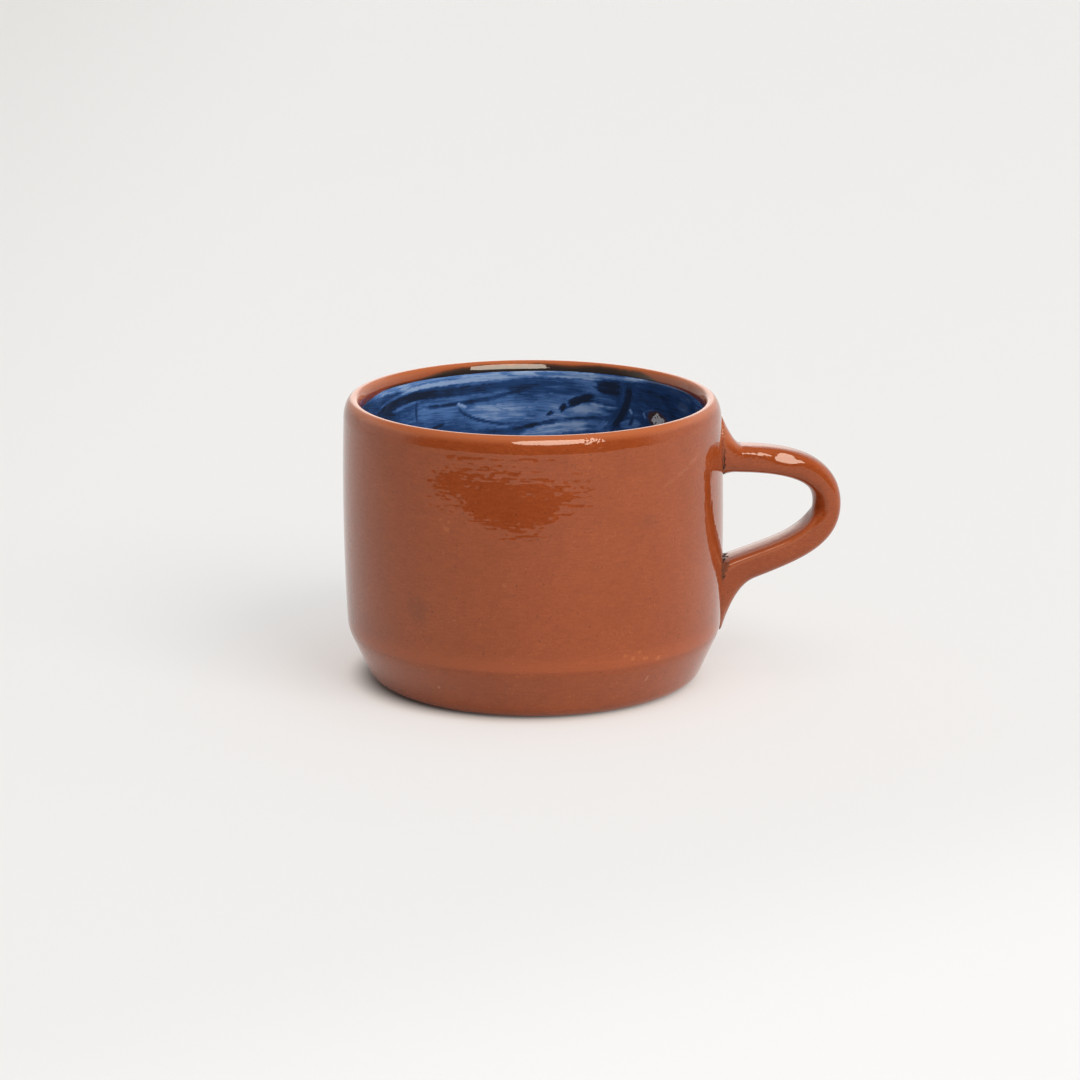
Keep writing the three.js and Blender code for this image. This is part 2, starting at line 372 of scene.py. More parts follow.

# %% [markdown]
# ## Brush strokes
# A wash is laid on in strokes: each one covers what was there, leaves bristle lines along its length and
# runs dry at its end. A stroke here is a bent line round the wall, with a width and a tone from pale to navy.
# The back of the cup gets a listed set, because it is what one sees; the rest is covered by loose ones.

# %% The strokes
# Each one: angle and depth under the lip of its start, its bend and its end, then width, tone, strength.
chosen_strokes = [
    (176, 8.0, 140, 11.0, 96, 12.0, 17.0, 0.58, 0.92),
    (118, 11.0, 84, 12.0, 52, 12.0, 15.0, 0.42, 0.90),
    (62, 11.0, 40, 11.0, 2, 11.0, 19.0, 0.66, 0.92),
    (172, 7.0, 158, 9.0, 136, 12.0, 9.0, 0.84, 0.88),
    (131, 11.5, 120, 12.2, 106, 12.4, 6.5, 0.40, 0.85),
    (110, 13.6, 98, 14.2, 84, 14.0, 5.0, 0.20, 0.92),
    (98, 12.4, 90, 12.8, 80, 12.6, 2.4, 0.14, 0.80),
    (86, 13.0, 74, 14.0, 64, 15.0, 6.0, 0.28, 0.85),
    (93, 7.6, 78, 8.0, 63, 8.0, 5.0, 0.60, 0.80),
    (86, 9.6, 76, 9.8, 66, 9.8, 1.5, 0.42, 0.65),
    (157, 10.4, 143, 6.8, 126, 6.9, 2.4, 0.94, 0.94),
    (141, 6.9, 118, 7.6, 94, 7.0, 2.5, 0.88, 0.92),
    (104, 7.0, 92, 6.6, 80, 6.4, 2.4, 0.72, 0.80),
    (128, 10.6, 110, 11.2, 95, 9.6, 1.1, 0.84, 0.88),
    (100, 10.0, 93, 8.8, 85, 7.2, 1.0, 0.80, 0.80),
    (158, 3.6, 125, 3.7, 82, 3.4, 2.0, 0.22, 0.92),
    (152, 7.6, 141, 5.5, 126, 4.8, 0.8, 0.24, 0.80),
    (140, 5.0, 118, 4.5, 84, 4.3, 1.2, 0.00, 0.92),
    (144, 10.0, 136, 9.0, 126, 8.2, 0.8, 0.26, 0.85),
    (129.6, 8.0, 130.2, 10.5, 129.5, 14.4, 0.5, 0.84, 0.80),
    (112.4, 11.4, 109.6, 16.4, 90, 18.0, 0.6, 0.88, 0.90),
    (113.0, 10.6, 111, 11.2, 108.6, 12.2, 0.9, -0.05, 0.92),
    (112, 19.4, 98, 20.0, 82, 19.8, 2.4, 0.70, 0.85),
    (123, 17.1, 120, 16.4, 117, 15.9, 0.9, 0.90, 0.88),
    (96, 3.4, 75, 3.5, 54, 3.5, 2.0, 0.10, 0.95),
    (66, 3.4, 50, 3.2, 35, 2.8, 1.0, 0.04, 0.95),
    (85.0, 3.3, 79, 3.5, 72, 3.3, 0.8, 0.46, 0.85),
    (58.0, 4.1, 51, 3.9, 45, 3.5, 0.5, 0.44, 0.80),
    (62.5, 6.2, 57, 6.1, 52, 6.3, 3.8, 0.96, 0.92),
    (64, 10.0, 58, 10.6, 52, 11.0, 3.0, 0.56, 0.70),
    (47.5, 6.0, 32, 6.6, 8, 7.2, 8.6, 0.70, 0.92),
    (45, 9.6, 41, 10.4, 37, 11.6, 2.4, 0.52, 0.70),
    (51.6, 4.6, 51.2, 10.5, 59, 17.6, 1.7, 0.60, 0.80),
    (49.0, 4.2, 48.4, 11.5, 57.5, 19.0, 2.1, 0.98, 0.92),
    (72, 13.6, 66, 12.2, 59, 12.4, 2.6, 0.18, 0.88),
    (66, 10.6, 61.3, 12.2, 54, 11.8, 0.5, 0.00, 0.90),
    (64, 12.8, 60, 14.2, 55, 13.4, 0.5, 0.12, 0.75),
    (73, 12.4, 68.5, 9.9, 62, 9.2, 2.2, 1.05, 0.96),
    (75.6, 14.0, 74.4, 12.9, 73.2, 11.8, 1.5, 1.02, 0.95),
    (80.2, 15.2, 79, 14.6, 77.8, 14.0, 1.1, 0.98, 0.92),
    (93, 19.0, 83, 17.9, 74, 16.0, 1.1, 0.92, 0.90),
    (77, 16.5, 66, 15.2, 56.5, 14.8, 0.8, 0.90, 0.88),
    (90, 20.5, 77, 18.6, 63, 17.4, 2.6, 0.08, 0.90),
    (62, 18.4, 60, 16.8, 58, 15.6, 1.3, 0.32, 0.75),
    (54, 16.6, 48.6, 15.6, 44, 15.0, 2.3, 0.28, 0.85),
    (47.6, 13.2, 48, 14.8, 49.4, 16.4, 1.0, 0.86, 0.80),
    (49.2, 11.0, 48.5, 12.2, 48.0, 12.8, 0.7, 0.00, 0.90),
    (43.2, 12.0, 39.4, 9.8, 32, 11.0, 0.5, 0.30, 0.75),
    (43.2, 11.8, 42.4, 12.6, 41.8, 13.6, 0.7, 0.05, 0.90),
]
loose_count = 120
loose_depths, loose_halves, loose_widths = (4, 108), (15, 45), (2.5, 7.5)
loose_rise, loose_bend = 2.0, 1.5
loose_tones = [0.3, 0.4, 0.5, 0.6, 0.7, 0.8, 0.9]
loose_strengths = (0.45, 0.85)


def loose_strokes(count):
    strokes = []
    for _ in range(count):
        angle, down, half = rng.uniform(0, 360), rng.uniform(*loose_depths), rng.uniform(*loose_halves)
        rise, bend = rng.normal(0, loose_rise), rng.normal(0, loose_bend)
        line = (angle + half, down - rise, angle, down + bend, angle - half, down + rise)
        tone = rng.choice(loose_tones)
        strokes.append((*line, rng.uniform(*loose_widths), tone, rng.uniform(*loose_strengths)))
    return strokes


strokes = loose_strokes(loose_count) + chosen_strokes
print(f"{len(strokes)} strokes, {len(chosen_strokes)} of them chosen")

# %% [markdown]
# ## Painting
# The strokes are painted onto the lining's points, in millimetres on the unrolled wall. Each point looks for
# the nearest place on the bent line. It keeps how far it lies across and along the last stroke that covered
# it, and how much blue that left. The finish reads these three numbers and draws the bristles from them.

# %% Nearest place on a stroke
def soft_step(value):
    value = np.clip(value, 0, 1)
    return value * value * (3 - 2 * value)


def nearest_on_line(line, at_x, at_y):
    nearest = np.full(at_x.shape, 1e9)
    across, share = np.zeros_like(at_x), np.zeros_like(at_x)
    for i in range(len(line) - 1):
        (x, y), (run, fall) = line[i], line[i + 1] - line[i]
        squared = run * run + fall * fall
        t = np.clip(((at_x - x) * run + (at_y - y) * fall) / squared, 0, 1)
        apart = np.hypot(at_x - x - t * run, at_y - y - t * fall)
        side = np.sign((at_y - y) * run - (at_x - x) * fall)
        closer = apart < nearest
        nearest = np.where(closer, apart, nearest)
        across = np.where(closer, apart * side, across)
        share = np.where(closer, (i + t) / (len(line) - 1), share)
    return across, share


halfway = nearest_on_line(np.array([(0.0, 0.0), (10.0, 0.0)]), np.array([5.0]), np.array([2.0]))
print(f"a point beside a stroke lies {halfway[0][0]:.1f} mm across it, {halfway[1][0]:.0%} along it")

# %% Paint the strokes
unrolled_radius = 45.0
mm_per_degree = math.radians(1) * unrolled_radius
line_steps = 24
bare_wash = 0.52
wobble_heights, wobble_rates, wobble_width = (0.10, 0.07), (1.1, 2.9), 1.6
edge_softness, softness_by_width = 0.22, 0.16
start_width, widest_at = 0.6, 0.35
bristle_rates, second_bristle = (3.7, 7.9), 0.7
bristle_ends, shortest_ragged = 0.8, 14.0
dry_start, dry_end = 0.14, 0.22
covers_from = 0.3
tone_offset = 37.0


def paint(strokes, angle, down):
    wash = np.full(angle.shape, bare_wash)
    across_kept, along_kept = down.copy(), angle * unrolled_radius
    for a0, d0, a1, d1, a2, d2, width, tone, strength in strokes:
        x = -np.angle(np.exp(1j * (angle - math.radians(a1)))) * unrolled_radius
        corners = [((a1 - a0) * mm_per_degree, d0), (0, d1), ((a1 - a2) * mm_per_degree, d2)]
        line = soft_corner(*np.array(corners), line_steps)
        length = np.linalg.norm(np.diff(line, axis=0), axis=1).sum()
        across, share = nearest_on_line(line, x, down)
        wobble = wobble_heights[0] * np.sin(share * length * wobble_rates[0] + a1)
        wobble = wobble + wobble_heights[1] * np.sin(share * length * wobble_rates[1] + d1)
        wobble = wobble * min(1, width / wobble_width)
        softness = edge_softness + softness_by_width * width
        half = width / 2 * (start_width + (1 - start_width) * soft_step(share / widest_at))
        cover = soft_step((half + softness / 2 + wobble - np.abs(across)) / softness)
        uneven = np.sin(across * bristle_rates[0] + a1)
        uneven = uneven + second_bristle * np.sin(across * bristle_rates[1] + d1)
        ended = share + uneven * bristle_ends / max(length, shortest_ragged)
        cover = cover * soft_step(ended / dry_start) * soft_step((1 - ended) / dry_end) * strength
        wash = wash + (tone - wash) * cover
        over = cover > covers_from
        across_kept = np.where(over, across + tone_offset * tone + a1, across_kept)
        along_kept = np.where(over, share * length, along_kept)
    return np.stack([across_kept, along_kept, wash], axis=-1)


face_steps = np.linalg.norm(np.diff(lining_face, axis=0), axis=2)
face_down = (np.cumsum(face_steps, axis=0) + edge_drop) / MM
face_angle = np.broadcast_to(lining_angle, face_down.shape)
painted = paint(strokes, face_angle, face_down)
brush = np.zeros((len(lining.data.vertices), 3))
face_start = len(lining_back) * lining_around
brush[face_start:face_start + painted.size // 3] = painted.reshape(-1, 3)
brush[-1] = painted[-1].mean(0)
brush_layer = lining.data.attributes.new("brush", "FLOAT_VECTOR", "POINT")
brush_layer.data.foreach_set("vector", brush.ravel())
print(f"painted {len(face_down)} rows, blue from {painted[..., 2].min():.2f} to {painted[..., 2].max():.2f}")

# %% [markdown]
# ## The pulled handle
# A handle is pulled from a lump of wet clay into a strap, bent into an ear and pressed on at both ends. Its
# middle line is two smooth curves that meet at the bend. Each ring is a rounded rectangle that spreads into
# a fin up the wall and a tail down the wall. The handle box in the frame gives the reach.

# %% Middle line of the strap
strap_width = 11.0 * MM
upper_thickness, lower_thickness = 7.2 * MM, 8.2 * MM
upper_arm = cup_height - 17.3 * MM
bend_height = upper_arm - 12.7 * MM
lower_arm = crease_height + 12.1 * MM
lower_slope = math.radians(21)
root_sink = 2.2 * MM
strap_stations, curve_steps = 220, 300
upper_pull, over_pull = 18.3 * MM, 9.6 * MM
under_pull, lower_pull = 10.4 * MM, 16.8 * MM


def strap_thickness(along):
    return upper_thickness + (lower_thickness - upper_thickness) * along ** 3


bend_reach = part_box("handle")[1].x - strap_thickness(0.5) / 2


def bezier(a, b, c, d, steps):
    t = np.linspace(0, 1, steps)[:, None]
    return (1 - t) ** 3 * a + 3 * (1 - t) ** 2 * t * b + 3 * (1 - t) * t ** 2 * c + t ** 3 * d


def strap_line():
    slope = np.array([math.cos(lower_slope), math.sin(lower_slope)])
    upper_root = np.array([wall_radius(upper_arm), upper_arm])
    lower_root = np.array([wall_radius(lower_arm), lower_arm])
    bend = np.array([bend_reach, bend_height])
    start = upper_root - (root_sink, 0)
    end = lower_root - slope * root_sink
    over = bezier(upper_root, upper_root + (upper_pull, 0), bend + (0, over_pull), bend, curve_steps)
    under = bezier(bend, bend - (0, under_pull), lower_root + slope * lower_pull, lower_root, curve_steps)
    line = np.vstack([start, over, under[1:], end])
    run = np.r_[0, np.cumsum(np.linalg.norm(np.diff(line, axis=0), axis=1))]
    even = np.linspace(0, run[-1], strap_stations)
    return np.c_[np.interp(even, run, line[:, 0]), np.interp(even, run, line[:, 1])]


strap_middle = strap_line()
strap_length = np.linalg.norm(np.diff(strap_middle, axis=0), axis=1).sum()
print(f"strap: {strap_length / MM:.1f} mm along its middle, {strap_width / MM:.1f} mm wide")

# %% [markdown]
# ## Rings of the strap
# Wet clay pulled through a fist is neither a rectangle nor an ellipse. A superellipse lies between the two,
# and one number says how square it is. The arms are flat on top, the lower one slightly crowned between two
# sharp ridges, and the bend is round inside, where a finger sits. Near the wall each ring spreads up into
# the fin, down into the tail, or flares a little under the upper arm. Every point also keeps how near it is
# to a ridge, where the finish paints the clay lighter: partly for thin glaze, partly as a painted highlight.

# %% Rings of the strap
fin_rise, fin_run, fin_taper = 7.9 * MM, 5.3 * MM, 1.6
tail_drop, tail_run, tail_taper = 10.6 * MM, 9.4 * MM, 2.5
flare_drop, flare_run = 0.9 * MM, 4.0 * MM
root_widening, root_narrowing = 1.0 * MM, 0.15
strap_sides = 72
top_squareness, outer_squareness = 3.3, 2.7
upper_squareness, lower_squareness = 3.3, 13.0
bend_squareness, root_squareness = 1.75, 2.8
bend_span = 0.13
lower_crown, crown_from, crown_over = 0.7 * MM, 0.55, 0.15
top_roll = math.tan(math.radians(2))
flat_top_fade = 2.5


def squircle(value, fullness):
    return np.sign(value) * np.abs(value) ** (2 / fullness)


def strap_ring(centre, travel, along):
    outward = np.array([-travel[1], travel[0]])
    half_thickness = strap_thickness(along) / 2
    inside = centre - outward * half_thickness
    outside = centre + outward * half_thickness
    gap = max(outside[0] - wall_radius(outside[1]), 0)
    if centre[1] > bend_height:
        fade = max(0, 1 - gap / fin_run) ** fin_taper
        outside = outside + (0, fin_rise * fade)
        inside = inside - (0, flare_drop * max(0, 1 - gap / flare_run) ** 2)
    else:
        fade = max(0, 1 - gap / tail_run) ** tail_taper
        outside = outside - (0, tail_drop * fade)
    angle = np.arange(strap_sides) * 2 * np.pi / strap_sides
    level = max(0, 1 - flat_top_fade * along)
    at_bend = math.exp(-((along - 0.5) / bend_span) ** 2)
    outer = outer_squareness + (top_squareness - outer_squareness) * level
    inner = upper_squareness if along < 0.5 else lower_squareness
    inner = inner + (bend_squareness - inner) * at_bend
    squareness = np.where(np.sin(angle) > 0, outer, inner)
    squareness = squareness + (root_squareness - squareness) * fade
    across = squircle(np.cos(angle), squareness)
    through = squircle(np.sin(angle), squareness)
    middle, half = (inside + outside) / 2, (outside - inside) / 2
    half_width = strap_width / 2 + root_widening * fade
    half_width = half_width * (1 - root_narrowing * fade * np.clip(through, 0, 1))
    roll = top_roll * level * (1 - fade)
    shift = -roll * half_width * across * np.clip(through, 0, 1)
    crown = lower_crown * float(np.clip((along - crown_from) / crown_over, 0, 1))
    shift = shift + crown * across ** 2 * np.clip(-through, 0, 1)
    ring = np.empty((strap_sides, 3))
    ring[:, 0] = middle[0] + half[0] * through + outward[0] * shift
    ring[:, 1] = half_width * across
    ring[:, 2] = middle[1] + half[1] * through + outward[1] * shift
    return ring, np.abs(across * through)


strap_travel = np.gradient(strap_middle, axis=0)
strap_travel /= np.linalg.norm(strap_travel, axis=1)[:, None]
strap_share = np.linspace(0, 1, strap_stations)
strap_made = [strap_ring(*station) for station in zip(strap_middle, strap_travel, strap_share)]
strap_rings = np.array([ring for ring, _ in strap_made])
strap_ridges = np.array([ridge for _, ridge in strap_made])
print(f"strap: {strap_stations} rings of {strap_sides} points")

# %% [markdown]
# ## The thumb flat
# On the shoulder of the handle the potter's thumb left a small flat, which shows as a broad flash beside the
# thin one on the arm. Points that stand above a tilted plane are pushed down onto it. The push starts softly,
# so the flat's border is a gentle bend and not a cut.

# %% Thumb flat on the shoulder
flat_reach = 65.6 * MM
flat_depth = 0.58 * MM
flat_to_wall, wall_taper = 4.2 * MM, 2.5
flat_to_bend, bend_taper = 3.4 * MM, 4
flat_softness = 0.08 * MM
flat_turn = math.radians(30.4)


def press_flat(rings):
    upper_half = strap_middle[:strap_stations // 2, 0]
    station = int(np.argmin(np.abs(upper_half - flat_reach)))
    travel = strap_travel[station]
    outward = np.array([-travel[1], 0, travel[0]])
    facing = outward * math.sin(flat_turn) - np.array([0, math.cos(flat_turn), 0])
    rise = rings @ facing
    over = rise - (rise[station].max() - flat_depth)
    push = flat_softness * np.logaddexp(0, over / flat_softness)
    apart = np.linalg.norm(strap_middle - strap_middle[station], axis=1)
    to_wall = np.exp(-(apart / flat_to_wall) ** wall_taper)
    to_bend = np.exp(-(apart / flat_to_bend) ** bend_taper)
    push = push * np.where(np.arange(strap_stations) < station, to_wall, to_bend)[:, None]
    return rings - push[..., None] * facing


strap_points = by_hand(press_flat(strap_rings))
handle = skin("pulled_handle", strap_points, strap_points[0].mean(0), strap_points[-1].mean(0))
ridge_layer = handle.data.attributes.new("ridge", "FLOAT", "POINT")
ridge_layer.data.foreach_set("value", np.r_[strap_ridges.ravel(), 0, 0])

# %% [markdown]
# ## The dabs of slip
# Before pressing the handle on, the potter scores both places and wets them with slip, which squeezes out
# as a thin gritty bead. Each dab is a flat lens that lies on the wall under the root and stands out a little
# all round it. The rim of the lens gets small random lumps, because slip is coarse.

# %% Slip lenses
slip_bead = 0.40 * MM
slip_half = 0.50 * MM
slip_lumps, lump_span = 0.20 * MM, 5
lens_rows, lens_pole = 28, 0.06
lens_fullness, lens_flatness = 0.35, 0.7


def slip_lens(name, root_ring):
    side, height = root_ring[:, 1], root_ring[:, 2]
    middle = (height.max() + height.min()) / 2
    spread = np.hypot(side, height - middle)
    grains = rng.normal(size=strap_sides + lump_span - 1)
    lumps = slip_lumps * np.convolve(grains, np.ones(lump_span) / 2, "valid")
    grow = (spread + slip_bead + lumps) / spread
    rings = []
    for step in np.linspace(lens_pole, math.pi - lens_pole, lens_rows):
        share = math.sin(step) ** lens_fullness
        lift = slip_half * math.copysign(abs(math.cos(step)) ** lens_flatness, math.cos(step))
        y = side * grow * share
        z = middle + (height - middle) * grow * share
        x = np.sqrt((wall_radius(z) + lift) ** 2 - y ** 2)
        rings.append(np.c_[x, y, z])
    first = (wall_radius(middle) + slip_half, 0, middle)
    last = (wall_radius(middle) - slip_half, 0, middle)
    return skin(name, by_hand(np.array(rings)), by_hand(first), by_hand(last))


def ring_at_wall(rings):
    reach = np.abs(rings[:, :, 0].mean(1) - belly_radius - slip_half)
    return rings[int(np.argmin(reach))]


half_way = strap_stations // 2
upper_slip = slip_lens("upper_slip_bead", ring_at_wall(strap_rings[:half_way]))
lower_slip = slip_lens("lower_slip_bead", ring_at_wall(strap_rings[half_way:]))

# %% [markdown]
# ## Small tools for finishes
# A finish is a little network of nodes. These helpers keep the networks short to read. The first places a
# node and fills its sockets with links or plain values. The others do sums, stretch one range of values to
# another, mix two colours, draw noise, and measure or split a place. Noise mostly stays near its middle, so
# one of them stretches just that range.

# %% Node helpers
noise_range = (0.3, 0.7)


def place(tree, kind, inputs=None, **settings):
    made = tree.nodes.new(kind)
    for key, value in settings.items():
        setattr(made, key, value)
    for key, value in (inputs or {}).items():
        if isinstance(value, bpy.types.NodeSocket):
            tree.links.new(value, made.inputs[key])
        else:
            made.inputs[key].default_value = value
    return made


def sum_of(tree, operation, first, second):
    return place(tree, "ShaderNodeMath", {0: first, 1: second}, operation=operation).outputs[0]


def times(tree, first, second):
    return sum_of(tree, "MULTIPLY", first, second)


def plus(tree, first, second):
    return sum_of(tree, "ADD", first, second)


def span(tree, value, low, high, to_low=0.0, to_high=1.0):
    inputs = {"Value": value, 1: low, 2: high, 3: to_low, 4: to_high}
    return place(tree, "ShaderNodeMapRange", inputs, interpolation_type="SMOOTHSTEP").outputs[0]


def tint(tree, factor, first, second):
    inputs = {0: factor, 6: first, 7: second}
    return place(tree, "ShaderNodeMix", inputs, data_type="RGBA").outputs[2]


def noise(tree, vector, scale, detail=3.0, roughness=0.55):
    inputs = {"Vector": vector, "Scale": scale, "Detail": detail, "Roughness": roughness}
    return place(tree, "ShaderNodeTexNoise", inputs).outputs["Fac"]


def noise_span(tree, value, low=0.0, high=1.0):
    return span(tree, value, *noise_range, low, high)


def stretched(tree, vector, scale):
    return place(tree, "ShaderNodeVectorMath", {0: vector, 1: scale}, operation="MULTIPLY").outputs[0]


def measure(tree, operation, first, second=(0, 0, 0)):
    return place(tree, "ShaderNodeVectorMath", {0: first, 1: second}, operation=operation).outputs["Value"]


def axes_of(tree, vector):
    return place(tree, "ShaderNodeSeparateXYZ", {0: vector}).outputs


node_tools = [sum_of, times, plus, span, tint, noise, noise_span, stretched, measure, axes_of]
print("node tools:", [tool.__name__ for tool in node_tools])

# %% [markdown]
# ## Groups and glazes
# An effect that several finishes share becomes a node group with named sockets. A finish itself starts from
# the standard shader. All the clay here lies under the same clear glaze, which is a strong, slightly warm
# gloss, and the last helper joins colour, roughness and relief to the shader.

# %% Helpers for groups and finishes
VALUE, VECTOR = "NodeSocketFloat", "NodeSocketVector"
glaze_gloss = 0.6
glaze_warmth = (1.0, 0.83, 0.67, 1)


def new_group(name, inputs, outputs):
    tree = bpy.data.node_groups.new(name, "ShaderNodeTree")
    for socket, kind in inputs:
        tree.interface.new_socket(socket, in_out="INPUT", socket_type=kind)
    for socket, kind in outputs:
        tree.interface.new_socket(socket, in_out="OUTPUT", socket_type=kind)
    return tree, tree.nodes.new("NodeGroupInput"), tree.nodes.new("NodeGroupOutput")


def use_group(tree, group, **inputs):
    return place(tree, "ShaderNodeGroup", inputs, node_tree=group).outputs


def new_finish(name):
    material = bpy.data.materials.new(name)
    material.use_nodes = True
    tree = material.node_tree
    spot = place(tree, "ShaderNodeTexCoord").outputs["Object"]
    return material, tree, tree.nodes["Principled BSDF"], spot


def glaze(shader):
    shader.inputs["Specular IOR Level"].default_value = glaze_gloss
    shader.inputs["Specular Tint"].default_value = glaze_warmth


def lay_on(tree, shader, colour, rough, relief, depth):
    bump = place(tree, "ShaderNodeBump", {"Strength": 1.0, "Distance": depth, "Height": relief})
    tree.links.new(colour, shader.inputs["Base Color"])
    tree.links.new(rough, shader.inputs["Roughness"])
    tree.links.new(bump.outputs[0], shader.inputs["Normal"])


print(f"clear glaze: gloss {glaze_gloss}, warmth {glaze_warmth[:3]}")

# %% [markdown]
# ## Clay under glass
# Fired red clay is not one colour: it clouds over centimetres, mottles over millimetres, and carries tiny
# pale and dark grains. Cup, handle and slip share that character, so it is one node group with a tone and
# two masks of grains, and each finish mixes its own colours from them.

# %% Group: clay clouds and grains
wheel_stretch = (420, 420, 2600)
tone_edges = (0.28, 0.72)
pale_scale, pale_edges = 1500.0, (0.64, 0.76)
patch_scale, patch_edges = 90.0, (0.45, 0.68)
dark_scale, dark_edges = 1300.0, (0.66, 0.80)
clay_group, g_in, g_out = new_group(
    "clay_clouds_and_grains",
    [("Place", VECTOR)],
    [("Tone", VALUE), ("Pale grains", VALUE), ("Dark grains", VALUE)],
)
spot = g_in.outputs["Place"]
wheel_lines = stretched(clay_group, spot, wheel_stretch)
# Each layer of the tone, from clouds to wheel lines: where it lies, spots per metre, detail, weight.
clay_layers = [
    (spot, 45.0, 2.0, 0.20),
    (spot, 300.0, 3.0, 0.13),
    (spot, 1900.0, 2.0, 0.31),
    (wheel_lines, 1.0, 2.0, 0.31),
]
weighed = []
for where, scale, detail, weight in clay_layers:
    weighed.append(times(clay_group, noise(clay_group, where, scale, detail), weight))
tone = weighed[0]
for layer in weighed[1:]:
    tone = plus(clay_group, tone, layer)
clay_group.links.new(span(clay_group, tone, *tone_edges), g_out.inputs["Tone"])
patches = span(clay_group, noise(clay_group, spot, patch_scale, 2.0), *patch_edges)
pale = span(clay_group, noise(clay_group, spot, pale_scale, 1.0), *pale_edges)
clay_group.links.new(times(clay_group, pale, patches), g_out.inputs["Pale grains"])
mirrored_spot = stretched(clay_group, spot, (1, 1, -1))
dark = span(clay_group, noise(clay_group, mirrored_spot, dark_scale, 1.0), *dark_edges)
clay_group.links.new(dark, g_out.inputs["Dark grains"])
print(f"{clay_group.name}: {len(clay_group.nodes)} nodes")

# %% [markdown]
# ## The glaze's skin
# A clear glaze keeps the marks of the wheel and the brush as ripples a few thousandths of a millimetre high.
# They are far too fine for the mesh, but they tear the edges of every reflection, so they go in as bump.
# The stretch input lays the ripples round the cup or along the strap. In two places the glaze boiled a
# little and stayed dimpled, which breaks a bright line into beads; the oval input says where.

# %% Group: glaze ripple
nowhere = (9.0, 9.0, 9.0)
peel_scale, peel_share = 700.0, 0.8
dimple_scale, dimple_share = 1500.0, 4.0
oval_rim = (0.6, 1.0)
breakup_scale = 140.0
ripple_group, g_in, g_out = new_group(
    "glaze_ripple",
    [("Place", VECTOR), ("Stretch", VECTOR), ("Oval", VECTOR)],
    [("Height", VALUE), ("Gloss breakup", VALUE)],
)
spot = g_in.outputs["Place"]
ripple = noise(ripple_group, stretched(ripple_group, spot, g_in.outputs["Stretch"]), 1.0, 1.0, 0.4)
peel = times(ripple_group, noise(ripple_group, spot, peel_scale, 0.0), peel_share)
from_oval = measure(ripple_group, "LENGTH", g_in.outputs["Oval"])
dimpled = span(ripple_group, from_oval, *oval_rim, dimple_share, 0.0)
dimples = times(ripple_group, dimpled, noise(ripple_group, spot, dimple_scale, 0.0))
height = plus(ripple_group, plus(ripple_group, ripple, peel), dimples)
ripple_group.links.new(height, g_out.inputs["Height"])
ripple_group.links.new(noise(ripple_group, spot, breakup_scale, 4.0), g_out.inputs["Gloss breakup"])
print(f"{ripple_group.name}: {len(ripple_group.nodes)} nodes")

# %% [markdown]
# ## Glazed terracotta
# Seen straight on, the clay is a deep red brown. Under the clear glaze it looks wet, so gloss does most of
# the work and the colour only needs its clouds and grains. The other colours here are for places: a lighter
# clay for thin glaze on an edge, which also serves as painted light on the lip, the ridges and the fin; the
# dark grit of a seam, which is also painted shade in the inner corners; a painted highlight along the crease
# above the foot; and bare clay where the cup stood.

# %% Clay colours
clay_deep = (0.268, 0.0485, 0.0115, 1)
clay_light = (0.394, 0.079, 0.0205, 1)
grain_pale = (0.43, 0.115, 0.034, 1)
grain_dark = (0.19, 0.038, 0.011, 1)
# Lighter clay for thin glaze on edges; it also serves as painted light on the lip, the ridges and the fin.
thin_glaze_and_light_clay = (0.480, 0.130, 0.048, 1)
# Dark seam colour; round the handle it is also painted shade in the inner corners.
seam_dark = (0.055, 0.017, 0.010, 1)
bare_clay = (0.42, 0.16, 0.08, 1)
# Lighter clay for a painted highlight along the crease above the foot.
crease_highlight_clay = (0.45, 0.095, 0.027, 1)


def clay_colours(tree, spot, deep=clay_deep, light=clay_light):
    clay = use_group(tree, clay_group, Place=spot)
    colour = tint(tree, clay["Tone"], deep, light)
    colour = tint(tree, clay["Pale grains"], colour, grain_pale)
    return tint(tree, clay["Dark grains"], colour, grain_dark)


print(f"clay from {clay_deep[:3]} to {clay_light[:3]}")

# %% [markdown]
# ## Small marks
# Kiln and shelf leave their traces: a faint dark disc where the glaze was touched, burnt-out specks above
# the crease, a few pale scratches. Each is a soft oval laid on the wall. A mapping node moves the oval's
# centre to zero and its rim to one, so the distance from zero is the mask.

# %% Marks on the wall
speck_orange = (0.56, 0.165, 0.045, 1)
scratch_pale = (0.62, 0.27, 0.14, 1)
disc_dark = (0.20, 0.050, 0.022, 1)
oval_depth = 6 * MM
bevel_lean = 0.5
crumble_scale, crumble = 1600.0, 0.35
mark_rim = (0.35, 1.0)
